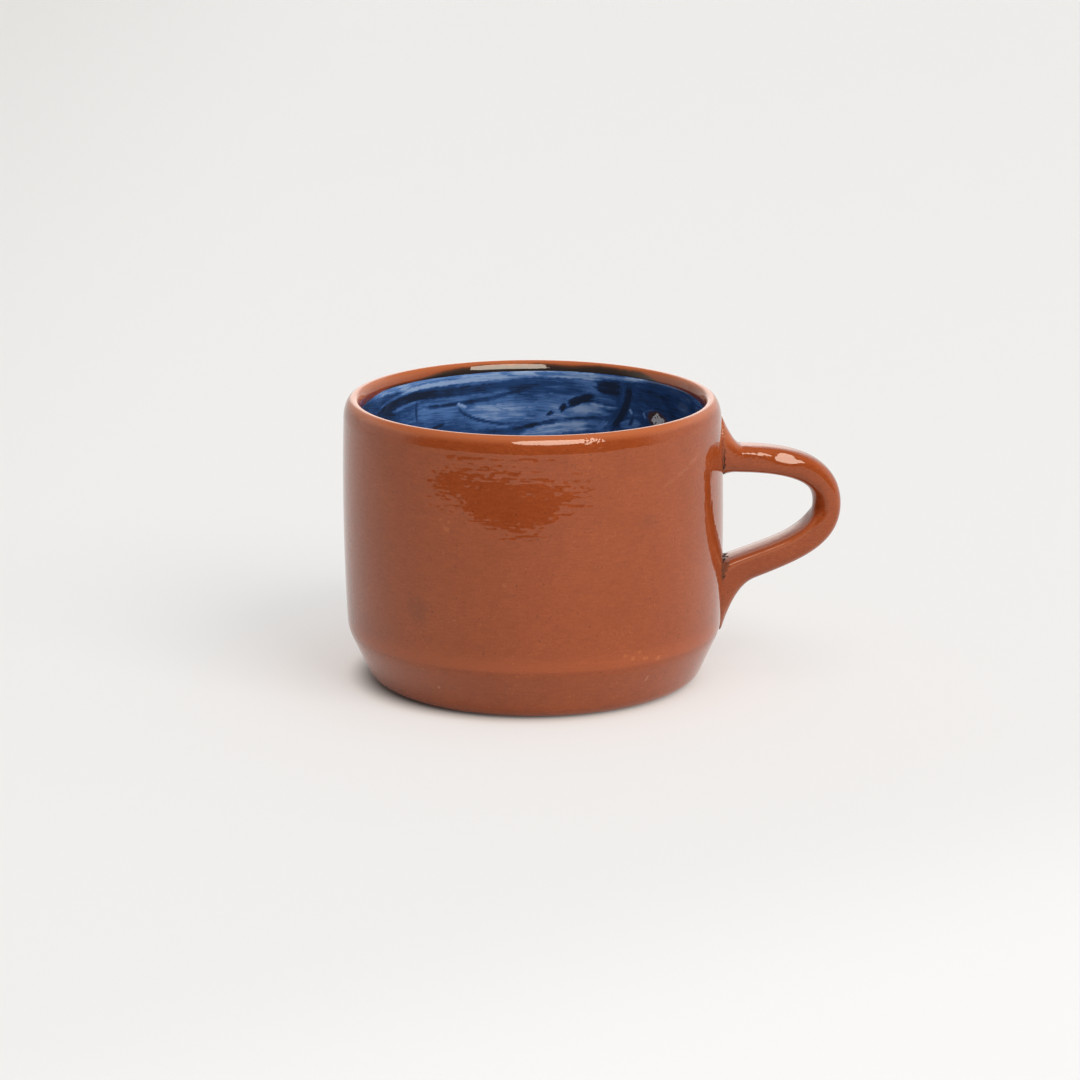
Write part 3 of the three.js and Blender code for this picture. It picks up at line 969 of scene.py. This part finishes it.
# Each one: angle, height, half length and half height in millimetres, tilt, colour, strength.
wall_marks = [
    (-131.2, 28.3, 4.6, 4.6, 0, disc_dark, 0.50),
    (-59.0, 51.5, 4.2, 3.2, 0, disc_dark, 0.22),
    (-102.1, 34.5, 2.2, 0.40, 4, disc_dark, 0.35),
    (-51.0, 60.4, 3.0, 0.8, 18, scratch_pale, 0.07),
    (-45.0, 62.2, 3.4, 0.8, 20, scratch_pale, 0.10),
    (-39.0, 64.4, 3.6, 0.9, 22, scratch_pale, 0.12),
    (-57.5, 9.2, 0.40, 1.4, -25, scratch_pale, 0.40),
    (-126.7, 7.5, 0.60, 0.50, 0, scratch_pale, 0.40),
    (-67.0, 17.0, 0.9, 0.6, 0, speck_orange, 0.36),
    (-64.5, 16.0, 1.2, 0.7, 0, speck_orange, 0.40),
    (-62.0, 17.4, 0.7, 0.5, 0, speck_orange, 0.34),
    (-60.0, 15.6, 1.0, 0.6, 0, speck_orange, 0.40),
    (-55.0, 14.9, 1.1, 0.7, 0, speck_orange, 0.50),
    (-123.0, 53.0, 0.9, 0.8, 0, speck_orange, 0.28),
    (-121.4, 50.6, 1.3, 1.1, 0, speck_orange, 0.28),
    (-120.4, 52.6, 0.7, 0.6, 0, speck_orange, 0.30),
    (-103.5, 37.0, 1.0, 0.8, 0, speck_orange, 0.22),
    (-6.0, 44.9, 1.4, 0.40, 0, seam_dark, 0.80),
]


def oval_on_wall(tree, spot, turn_at, height, half_length, half_height, tilt=0.0, radius=None):
    angle = math.radians(turn_at)
    if radius is None:
        radius = wall_radius(max(height * MM, crease_height))
        radius -= max(crease_height - height * MM, 0) * bevel_lean
    inputs = {
        "Vector": spot,
        "Location": (radius * math.cos(angle), radius * math.sin(angle), height * MM),
        "Rotation": (math.radians(tilt), 0, angle),
        "Scale": (oval_depth, half_length * MM, half_height * MM),
    }
    oval = place(tree, "ShaderNodeMapping", inputs, vector_type="TEXTURE").outputs[0]
    return oval, measure(tree, "LENGTH", oval)


def marked(tree, colour, spot, marks):
    crumbled = noise_span(tree, noise(tree, spot, crumble_scale, 2.0), -crumble, crumble)
    for *where, shade, strength in marks:
        _, apart = oval_on_wall(tree, spot, *where)
        cover = span(tree, plus(tree, apart, crumbled), *mark_rim, strength, 0.0)
        colour = tint(tree, cover, colour, shade)
    return colour


print(f"{len(wall_marks)} marks on the wall")

# %% [markdown]
# ## The dark run inside the lip
# Round the inside of the lip the blue coat runs thin over red clay and turns nearly black. The run is widest
# at the back and dies away to both sides. Its upper edge is a level that follows the place across the cup,
# with a little noise; whatever lies under it, on the inner face of the lip, is stained.

# %% The dark run
lip_brown = (0.110, 0.045, 0.026, 1)
lip_black = (0.036, 0.025, 0.021, 1)
# Each side: from and to across the cup, and the level against the lip at both.
run_on_left = (-0.95 * belly_radius, -0.15 * belly_radius, -3.3 * MM, -0.9 * MM)
run_on_right = (0.62 * belly_radius, 0.80 * belly_radius, -0.9 * MM, -4.5 * MM)
run_scale, run_wander = 60.0, 0.35 * MM
run_depth, run_blend = 12 * MM, 1 * MM
lip_inner_face, inner_blend = lip_radius - 2.6 * MM, 0.4 * MM
stain_edge, band_edge = (-0.3 * MM, 0.4 * MM), (0.1 * MM, 1.0 * MM)


def with_dark_run(tree, colour, axes, flat_spot, reach):
    left = span(tree, axes["X"], *run_on_left)
    right_side = span(tree, axes["X"], *run_on_right)
    wander = noise_span(tree, noise(tree, flat_spot, run_scale, 4.0, 0.6), -run_wander, run_wander)
    edge = plus(tree, sum_of(tree, "MINIMUM", left, right_side), wander)
    under = sum_of(tree, "SUBTRACT", plus(tree, edge, cup_height), axes["Z"])
    inner = span(tree, reach, lip_inner_face, lip_inner_face + inner_blend, 1.0, 0.0)
    near_lip = span(tree, axes["Z"], cup_height - run_depth, cup_height - run_depth + run_blend)
    inner = times(tree, inner, near_lip)
    stain = times(tree, span(tree, under, *stain_edge), inner)
    band = times(tree, span(tree, under, *band_edge), inner)
    return tint(tree, band, tint(tree, stain, colour, lip_brown), lip_black)


print(f"dark run: {-run_on_right[2] / MM:.1f} mm under the lip at the back")

# %% [markdown]
# ## The cup's finish
# The layers go on from the clay outward: clouds and grains, a painted highlight above the crease, marks,
# thin glaze over the edge, which is also painted light from above, the dark run, and the bare base, pale and
# dull from the kiln shelf. Beside the handle the potter wiped the wall with a sponge, so the glaze is a
# little rougher there.

# %% Cup finish
cup_ripples = (150.0, 150.0, 750.0)
cup_relief = 0.021 * MM
cup_gloss = (0.01, 0.03)
crease_from = (crease_height - 0.2 * MM, crease_height + 0.6 * MM)
crease_to = (crease_height + 1.2 * MM, crease_height + 5.5 * MM)
crease_strength = 0.45
thin_glaze_and_light_at_lip = (cup_height - 2.2 * MM, cup_height - 0.2 * MM)
bare_base, bare_roughness = (0.3 * MM, 0.5 * MM), 0.7
boiled_lip = (-76.5, 74.0, 4.6, 3.0)
sponged_wall = (-22.5, 47.0, 6.5, 25.0, 27.0)
sponge_scale, sponge_height = 750.0, 1.2


def finish_cup():
    material, tree, shader, spot = new_finish("glazed_terracotta")
    glaze(shader)
    axes = axes_of(tree, spot)
    flat_spot = stretched(tree, spot, (1, 1, 0))
    reach = measure(tree, "LENGTH", flat_spot)
    colour = clay_colours(tree, spot)
    # Painted highlight: lighter clay in a band just above the crease.
    over_crease = span(tree, axes["Z"], *crease_from)
    fading = span(tree, axes["Z"], *crease_to, crease_strength, 0.0)
    colour = tint(tree, times(tree, over_crease, fading), colour, crease_highlight_clay)
    colour = marked(tree, colour, spot, wall_marks)
    # Lighter clay over the top of the lip: thin glaze there, and also painted light from above.
    thin = span(tree, axes["Z"], *thin_glaze_and_light_at_lip)
    colour = tint(tree, thin, colour, thin_glaze_and_light_clay)
    colour = with_dark_run(tree, colour, axes, flat_spot, reach)
    bare = span(tree, axes["Z"], *bare_base, 1.0, 0.0)
    colour = tint(tree, bare, colour, bare_clay)
    boiled, _ = oval_on_wall(tree, spot, *boiled_lip)
    ripple = use_group(tree, ripple_group, Place=spot, Stretch=cup_ripples, Oval=boiled)
    gloss = noise_span(tree, ripple["Gloss breakup"], *cup_gloss)
    rough = sum_of(tree, "MAXIMUM", gloss, times(tree, bare, bare_roughness))
    _, apart = oval_on_wall(tree, spot, *sponged_wall)
    wiped = span(tree, apart, *oval_rim, sponge_height, 0.0)
    sponged = times(tree, wiped, noise(tree, spot, sponge_scale, 0.0))
    lay_on(tree, shader, colour, rough, plus(tree, ripple["Height"], sponged), cup_relief)
    return material


cup_finish = finish_cup()
print(f"{cup_finish.name}: {len(cup_finish.node_tree.nodes)} nodes")

# %% [markdown]
# ## The handle's finish
# The handle is the same clay. Where it meets the wall there is a dark line, partly slip grit and partly
# painted shade: plain in the two inner corners, where the shade falls, and nearly gone up the fin and down
# the tail. Height alone tells these places apart, so one small function gives the depth of the line for
# handle and slip. On the ridges and up the fin the clay is painted lighter, partly for thin glaze and partly
# as painted light, and two pinholes sit on the lower arm.

# %% Handle finish
handle_ripples = (650.0, 700.0, 300.0)
handle_relief = 0.022 * MM
handle_gloss = (0.015, 0.04)
ridge_edges, ridge_strength = (0.52, 0.72), 0.45
thin_glaze_and_light_up_fin, fin_strength = (upper_arm + 2.5 * MM, upper_arm + 6.0 * MM), 0.6
boiled_arm = (-5.0, 60.0, 4.0, 4.0)
boiled_arm_reach = 56.0 * MM
fine_grit, coarse_grit = 0.9 * MM, 2.6 * MM
grit_scale, grit_roughness = 900.0, 0.85
crumb_scale, crumb_height = 1300.0, 45.0
seam_edge = (-0.3 * MM, 0.2 * MM)
# Each one: from and to in height, and the depth of the line, or the size of its grit, at both.
seam_under_fin = (upper_arm + 0.5 * MM, upper_arm + 4.5 * MM, 1.0, 0.2)
seam_over_tail = (lower_arm - 2.0 * MM, lower_arm + 2.0 * MM, 0.12, 1.0)
lower_grit = (lower_arm + 1.0 * MM, lower_arm + 4.0 * MM, fine_grit, coarse_grit)
upper_grit = (bend_height, bend_height + 4.0 * MM, coarse_grit, fine_grit)
pinhole_dark = (0.030, 0.012, 0.009, 1)
# Each pinhole: as a mark on the wall, with its own distance from the cup's middle before the colour.
handle_marks = [
    (4.1, 34.9, 0.45, 0.45, 0, 63.2 * MM, pinhole_dark, 1.0),
    (4.3, 34.1, 0.30, 0.30, 0, 61.2 * MM, pinhole_dark, 0.9),
]


# How deep the dark seam line is at a height: full in the inner corners, where it is painted shade as well as
# grit.
def seam_depth(tree, height):
    return times(tree, span(tree, height, *seam_under_fin), span(tree, height, *seam_over_tail))


def grit_and_shade_seam(tree, spot, height):
    reach = measure(tree, "LENGTH", stretched(tree, spot, (1, 1, 0)))
    reach = plus(tree, reach, times(tree, height, lean_to_left / cup_height))
    coarse = sum_of(tree, "MINIMUM", span(tree, height, *lower_grit), span(tree, height, *upper_grit))
    grit = times(tree, noise_span(tree, noise(tree, spot, grit_scale, 3.0)), coarse)
    past_wall = sum_of(tree, "SUBTRACT", sum_of(tree, "SUBTRACT", reach, grit), belly_radius)
    seam = span(tree, past_wall, *seam_edge, 1.0, 0.0)
    return times(tree, seam, seam_depth(tree, height))


def finish_handle():
    material, tree, shader, spot = new_finish("handle_terracotta")
    glaze(shader)
    height = axes_of(tree, spot)["Z"]
    # The dark seam line: grit of the slip, and painted shade in the inner corners.
    seam_grit_and_shade = grit_and_shade_seam(tree, spot, height)
    colour = tint(tree, seam_grit_and_shade, clay_colours(tree, spot), seam_dark)
    ridge = place(tree, "ShaderNodeAttribute", attribute_name="ridge").outputs["Fac"]
    # Lighter clay along the ridges: thin glaze, and also a painted highlight where the ridges catch the
    # light.
    colour = tint(tree, span(tree, ridge, *ridge_edges, 0.0, ridge_strength), colour, thin_glaze_and_light_clay)
    # Lighter clay up the fin: thin glaze, and also painted light on its top.
    up_fin = span(tree, height, *thin_glaze_and_light_up_fin, 0.0, fin_strength)
    colour = tint(tree, up_fin, colour, thin_glaze_and_light_clay)
    colour = marked(tree, colour, spot, handle_marks)
    boiled, _ = oval_on_wall(tree, spot, *boiled_arm, radius=boiled_arm_reach)
    ripple = use_group(tree, ripple_group, Place=spot, Stretch=handle_ripples, Oval=boiled)
    gloss = noise_span(tree, ripple["Gloss breakup"], *handle_gloss)
    rough = sum_of(tree, "MAXIMUM", gloss, times(tree, seam_grit_and_shade, grit_roughness))
    crumbs = times(tree, noise(tree, spot, crumb_scale, 2.0), seam_grit_and_shade)
    relief = plus(tree, ripple["Height"], times(tree, crumbs, crumb_height))
    lay_on(tree, shader, colour, rough, relief, handle_relief)
    return material


handle_finish = finish_handle()
print(f"{handle_finish.name}: {len(handle_finish.node_tree.nodes)} nodes")

# %% [markdown]
# ## The slip's finish
# Slip is clay stirred into water, and it dries coarse and dull. In the inner corners it is dark, partly dark
# grit and partly painted shade; elsewhere it looks like the clay round it. So the finish mixes two sets of
# clay colours by the depth of the seam, with a rough surface and the strongest relief on the mug.

# %% Slip finish
slip_dark = (0.045, 0.017, 0.011, 1)
slip_light = (0.24, 0.065, 0.026, 1)
slip_ripples = (1500.0, 1500.0, 1500.0)
slip_relief = 0.40 * MM
slip_roughness = (0.70, 0.90)
slip_change, upper_slip_share = (bend_height - 2.0 * MM, bend_height + 2.0 * MM), 0.4


def finish_slip():
    material, tree, shader, spot = new_finish("joint_slip")
    height = axes_of(tree, spot)["Z"]
    grit = clay_colours(tree, spot, slip_dark, slip_light)
    paler = span(tree, height, *slip_change, 1.0, upper_slip_share)
    # Dark slip colours in the inner corners: dark grit, and also painted shade.
    colour = tint(tree, times(tree, seam_depth(tree, height), paler), clay_colours(tree, spot), grit)
    ripple = use_group(tree, ripple_group, Place=spot, Stretch=slip_ripples, Oval=nowhere)
    rough = noise_span(tree, ripple["Gloss breakup"], *slip_roughness)
    lay_on(tree, shader, colour, rough, ripple["Height"], slip_relief)
    return material


slip_finish = finish_slip()
print(f"{slip_finish.name}: {len(slip_finish.node_tree.nodes)} nodes")

# %% [markdown]
# ## The blue wash
# The lining is a wash of cobalt brushed over pale slip. Every stroke leaves fine bristle lines, the colour
# pools to navy where strokes overlap, and the pale coat shows where the brush ran dry. The painted numbers
# say which stroke a point belongs to; noise stretched along that stroke makes its bristles. In one place the
# glaze drew back from a crumb in the slip and left a brown ring round bare grit.

# %% Lining finish
wash_navy = (0.0210, 0.0290, 0.054, 1)
wash_cobalt = (0.030, 0.080, 0.220, 1)
wash_sky = (0.105, 0.225, 0.500, 1)
wash_pale = (0.370, 0.510, 0.750, 1)
pale_to_sky, sky_to_cobalt, cobalt_to_navy = (0.02, 0.30), (0.28, 0.62), (0.58, 0.95)
fine_bristles, fine_share = (2.6, 0.14, 0.0), 0.55
broad_bristles, broad_share = (0.7, 0.06, 0.0), 0.45
bristle_swing = 0.20
pool_scale, pool_swing = 130.0, 0.09
crawl_oval = (36.4, 61.8, 3.9, 2.7)
crawl_brown = (0.110, 0.050, 0.032, 1)
crawl_grit = (0.950, 0.880, 0.800, 1)
crawl_scale, crawl_wander = 700.0, 0.2
crawl_ring, crawl_middle = (0.88, 1.0), (0.52, 0.64)
gravel_scale, gravel_edges = 1500.0, (0.32, 0.46)
lining_ripples = (120.0, 120.0, 900.0)
lining_relief = 0.004 * MM
lining_gloss = (0.03, 0.06)


def wash_colours(tree, spot):
    laid = place(tree, "ShaderNodeAttribute", attribute_name="brush").outputs["Vector"]
    fine = noise(tree, stretched(tree, laid, fine_bristles), 1.0, 3.0, 0.6)
    broad = noise(tree, stretched(tree, laid, broad_bristles), 1.0, 2.0, 0.5)
    bristle = plus(tree, times(tree, fine, fine_share), times(tree, broad, broad_share))
    swing = noise_span(tree, bristle, -bristle_swing, bristle_swing)
    pooling = noise_span(tree, noise(tree, spot, pool_scale, 3.0), -pool_swing, pool_swing)
    blue = plus(tree, plus(tree, axes_of(tree, laid)["Z"], swing), pooling)
    colour = tint(tree, span(tree, blue, *pale_to_sky), wash_pale, wash_sky)
    colour = tint(tree, span(tree, blue, *sky_to_cobalt), colour, wash_cobalt)
    return tint(tree, span(tree, blue, *cobalt_to_navy), colour, wash_navy)


def finish_lining():
    material, tree, shader, spot = new_finish("blue_slip_glaze")
    _, apart = oval_on_wall(tree, spot, *crawl_oval, radius=inner_radius(crawl_oval[1] * MM))
    ragged = noise_span(tree, noise(tree, spot, crawl_scale, 3.0), -crawl_wander, crawl_wander)
    apart = plus(tree, apart, ragged)
    ring = span(tree, apart, *crawl_ring, 1.0, 0.0)
    colour = tint(tree, ring, wash_colours(tree, spot), crawl_brown)
    gravel = span(tree, noise(tree, spot, gravel_scale, 2.0), *gravel_edges)
    gravel = tint(tree, gravel, crawl_brown, crawl_grit)
    colour = tint(tree, span(tree, apart, *crawl_middle, 1.0, 0.0), colour, gravel)
    ripple = use_group(tree, ripple_group, Place=spot, Stretch=lining_ripples, Oval=nowhere)
    gloss = noise_span(tree, ripple["Gloss breakup"], *lining_gloss)
    lay_on(tree, shader, colour, gloss, ripple["Height"], lining_relief)
    return material


lining_finish = finish_lining()
print(f"{lining_finish.name}: {len(lining_finish.node_tree.nodes)} nodes")

# %% [markdown]
# ## Dressing the pieces
# Each surface now gets its finish, rides on the mug's one body and stands in for the plain solid of the same
# piece. Both dabs of slip share a finish. Each line of the table also carries a slot name.

# %% Dress the pieces
dressing = [
    (cup, cup_finish, "glazed_terracotta", "cup_body"),
    (lining, lining_finish, "blue_slip_glaze", "blue_lining"),
    (handle, handle_finish, "handle_terracotta", "handle"),
    (upper_slip, slip_finish, "joint_slip", "upper_slip_joint"),
    (lower_slip, slip_finish, "joint_slip", "lower_slip_joint"),
]
for piece, material, slot, node in dressing:
    piece.data.materials.append(material)
    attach(piece, "root")
    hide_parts(node)
print("dressed:", [piece.name for piece, *_ in dressing])

# %% [markdown]
# ## A white sweep
# The photograph was taken on a white sheet that runs back and curls up behind. The sheet is stage, not part
# of the mug. It matters all the same: it bounces light onto the wall and is what the glaze mostly reflects.
# A strip of faces along one bent line is enough.

# %% Sheet with a curl
sweep_start, sweep_radius, sweep_top = 1.9, 0.7, 2.2
sweep_half_width, sweep_front = 3.0, -3.0
curl_steps = 24


def make_sweep():
    curl = np.linspace(0, math.pi / 2, curl_steps)
    line = [(sweep_front, 0.0)]
    line += [(sweep_start + sweep_radius * math.sin(a), sweep_radius * (1 - math.cos(a))) for a in curl]
    line += [(sweep_start + sweep_radius, sweep_top)]
    points = []
    for back, height in line:
        points += [studio(-sweep_half_width, back, height), studio(sweep_half_width, back, height)]
    faces = [(2 * i, 2 * i + 1, 2 * i + 3, 2 * i + 2) for i in range(len(line) - 1)]
    mesh = bpy.data.meshes.new("white_sweep")
    mesh.from_pydata(points, [], faces)
    mesh.polygons.foreach_set("use_smooth", [True] * len(faces))
    return put_in_scene("white_sweep", mesh)


sweep = make_sweep()
print(f"white sweep: {len(sweep.data.polygons)} faces")

# %% [markdown]
# ## White paper
# Under plain light a white sheet renders grey. So the camera and the reflections see a glow in the paper,
# while the light that it bounces onto the mug stays plain. The glow leaves out the foot, where the contact
# shadow lies, and it is weaker on the left. A bright place on the curl behind the mug pales the sides of the
# lip and the top of the handle.

# %% Paper finish
paper_dull, paper_pale = (0.72, 0.715, 0.70, 1), (0.74, 0.735, 0.72, 1)
# Round the foot the paper's colour is warmer and darker: painted light bounced off the red clay, in the
# contact shade.
seen_at_foot, seen_clear = (0.39, 0.335, 0.295, 1), (0.40, 0.390, 0.382, 1)
glow_left, glow_right = (0.375, 0.371, 0.360, 1), (0.512, 0.510, 0.506, 1)
# A warmer glow round the foot: painted light bounced off the red clay.
glow_round_foot = (0.480, 0.448, 0.428, 1)
glow_behind = (1.50, 1.44, 1.38, 1)
no_glow = (0, 0, 0, 1)
paper_roughness, paper_gloss = 0.9, 0.1
paper_clouds = 3.0
foot_middle = studio(-0.003, 0.0, 0)
foot_shade, foot_gap, foot_blend = (0.043, 0.051), (0.038, 0.048), (0.045, 0.090)
left_fade, front_fade = (-0.4, -0.1, 0.0, 0.5), (0.13, 0.24, 0.0, 0.5)
glow_middle, glow_reach, glow_core = studio(-0.05, 2.6, 0.68), 1.0, 0.3
front_right = right * 0.6 - away * 0.8


def seen_directly(tree):
    path = place(tree, "ShaderNodeLightPath").outputs
    seen = sum_of(tree, "MAXIMUM", path["Is Camera Ray"], path["Is Glossy Ray"])
    return sum_of(tree, "MAXIMUM", seen, path["Is Transmission Ray"])


def finish_paper():
    material, tree, shader, spot = new_finish("white_paper")
    seen = seen_directly(tree)
    from_foot = measure(tree, "DISTANCE", spot, foot_middle)
    paper = tint(tree, noise(tree, spot, paper_clouds), paper_dull, paper_pale)
    shaded = tint(tree, span(tree, from_foot, *foot_shade), seen_at_foot, seen_clear)
    tree.links.new(tint(tree, seen, paper, shaded), shader.inputs["Base Color"])
    from_left = span(tree, measure(tree, "DOT_PRODUCT", spot, right), *left_fade)
    to_front = span(tree, measure(tree, "DOT_PRODUCT", spot, front_right), *front_fade)
    sheet = tint(tree, plus(tree, from_left, to_front), glow_left, glow_right)
    from_glow = measure(tree, "DISTANCE", spot, glow_middle)
    lit_behind = span(tree, from_glow, glow_core * glow_reach, glow_reach, 1.0, 0.0)
    sheet = tint(tree, lit_behind, sheet, glow_behind)
    sheet = tint(tree, span(tree, from_foot, *foot_blend), glow_round_foot, sheet)
    clear = times(tree, span(tree, from_foot, *foot_gap), seen)
    tree.links.new(tint(tree, clear, no_glow, sheet), shader.inputs["Emission Color"])
    shader.inputs["Emission Strength"].default_value = 1.0
    shader.inputs["Roughness"].default_value = paper_roughness
    shader.inputs["Specular IOR Level"].default_value = paper_gloss
    return material


paper_finish = finish_paper()
sweep.data.materials.append(paper_finish)
print(f"{paper_finish.name}: {len(paper_finish.node_tree.nodes)} nodes")

# %% [markdown]
# ## Soft studio light
# A round-ended softbox hangs in front, above the camera and a little to the right: it draws the bright line
# along the lip and the flashes on the handle. It is seen only in the glaze. A large window far off to the
# right does the modelling of the wall, so the flashes can be placed without changing the shading. A wide,
# weak sun stands for the ceiling.

# %% Lamps
lamp_aim = studio(0, 0, 0.04)
ceiling_power, ceiling_spread = 1.1, math.radians(60)
ceiling_heading = studio(-0.1, 0.2, -1.0)


def lamp(name, place_at, size, power, shape="RECTANGLE"):
    data = bpy.data.lights.new(name, "AREA")
    data.shape = shape
    data.size, data.size_y = size
    data.energy = power
    made = put_in_scene(name, data)
    facing = (place_at - lamp_aim).normalized()
    across = up.cross(facing).normalized()
    stand(made, place_at, across, facing.cross(across), facing)
    made.visible_camera = False
    return made


softbox_place, window_place = studio(0.26, -0.79, 0.775), studio(2.9, -3.1, 3.5)
softbox = lamp("softbox_above", softbox_place, size=(0.96, 0.50), power=10.6, shape="ELLIPSE")
softbox.visible_diffuse = False
window = lamp("window_right", window_place, size=(3.4, 3.4), power=162.0)
window.visible_glossy = False
sky_data = bpy.data.lights.new("ceiling", "SUN")
sky_data.energy, sky_data.angle = ceiling_power, ceiling_spread
ceiling = put_in_scene("ceiling", sky_data)
ceiling.rotation_euler = ceiling_heading.to_track_quat("-Z", "Y").to_euler()
ceiling.visible_glossy = False
for made in (softbox, window, ceiling):
    print(f"{made.name}: {made.data.energy:.1f}")

# %% [markdown]
# ## A dark card in front
# Anything glossy shows the room it stands in. In a real studio the sheet ends a little way in front of the
# mug, and the dark floor beyond it shows as a ragged patch under the lip. Here the sheet runs on, so a dark
# card that only reflections can see lies where it would end.

# %% Dark card
card_far_edge = [(-0.30, -0.29), (-0.15, -0.408), (0.03, -0.422), (0.12, -0.385)]
card_near_edge = [(0.23, -0.31), (0.10, -0.328), (0.03, -0.284)]
card_near_edge += [(-0.09, -0.255), (-0.21, -0.245), (-0.30, -0.165)]
card_height = 0.5 * MM
card_clouds, card_roughness = 8.0, 0.9
card_black, card_grey = (0.015, 0.013, 0.012, 1), (0.03, 0.027, 0.025, 1)


def make_card():
    corners = card_far_edge + card_near_edge
    mesh = bpy.data.meshes.new("dark_card")
    mesh.from_pydata([studio(x, y, card_height) for x, y in corners], [], [tuple(range(len(corners)))])
    made = put_in_scene("dark_card", mesh)
    made.visible_camera = False
    made.visible_diffuse = False
    made.visible_shadow = False
    material, tree, shader, spot = new_finish("dark_card")
    shade = tint(tree, noise(tree, spot, card_clouds), card_black, card_grey)
    tree.links.new(shade, shader.inputs["Base Color"])
    shader.inputs["Roughness"].default_value = card_roughness
    mesh.materials.append(material)
    return made


card = make_card()
print(f"{card.name}: {len(card.data.vertices)} corners")

# %% [markdown]
# ## The room
# The rest of the light comes from the room itself, brighter on the right and behind than on the left. In the
# glaze the room is dark above and in front, as a real studio is, so the lip keeps its deep colour round the
# softbox's reflection. The world can tell reflections from soft light by the kind of ray that reaches it.

# %% Pale room, dark in the glaze
mirror_dark, mirror_pale = (0.04, 0.036, 0.032, 1), (0.85, 0.85, 0.84, 1)
soft_left, soft_right = (0.27, 0.27, 0.27, 1), (0.56, 0.56, 0.555, 1)
bright_side = (right * 0.8 + away * 0.6).normalized()
fade_to_top, fade_to_front, fade_to_left = (0.35, 0.75), (-0.45, 0.0), (-0.8, 0.6)


def make_room():
    world = bpy.data.worlds.new("studio_room")
    bpy.context.scene.world = world
    world.use_nodes = True
    tree = world.node_tree
    path = place(tree, "ShaderNodeLightPath").outputs
    heading = place(tree, "ShaderNodeTexCoord").outputs["Generated"]
    low = span(tree, axes_of(tree, heading)["Z"], *fade_to_top, 1.0, 0.0)
    behind = span(tree, measure(tree, "DOT_PRODUCT", heading, away), *fade_to_front)
    mirrored = tint(tree, times(tree, behind, low), mirror_dark, mirror_pale)
    side = span(tree, measure(tree, "DOT_PRODUCT", heading, bright_side), *fade_to_left)
    soft = tint(tree, side, soft_left, soft_right)
    colour = tint(tree, path["Is Glossy Ray"], soft, mirrored)
    tree.links.new(colour, tree.nodes["Background"].inputs["Color"])
    return world


room = make_room()
bpy.context.scene.view_settings.view_transform = "Standard"
print(f"{room.name}: soft light from {soft_left[0]} on the left to {soft_right[0]} on the right")
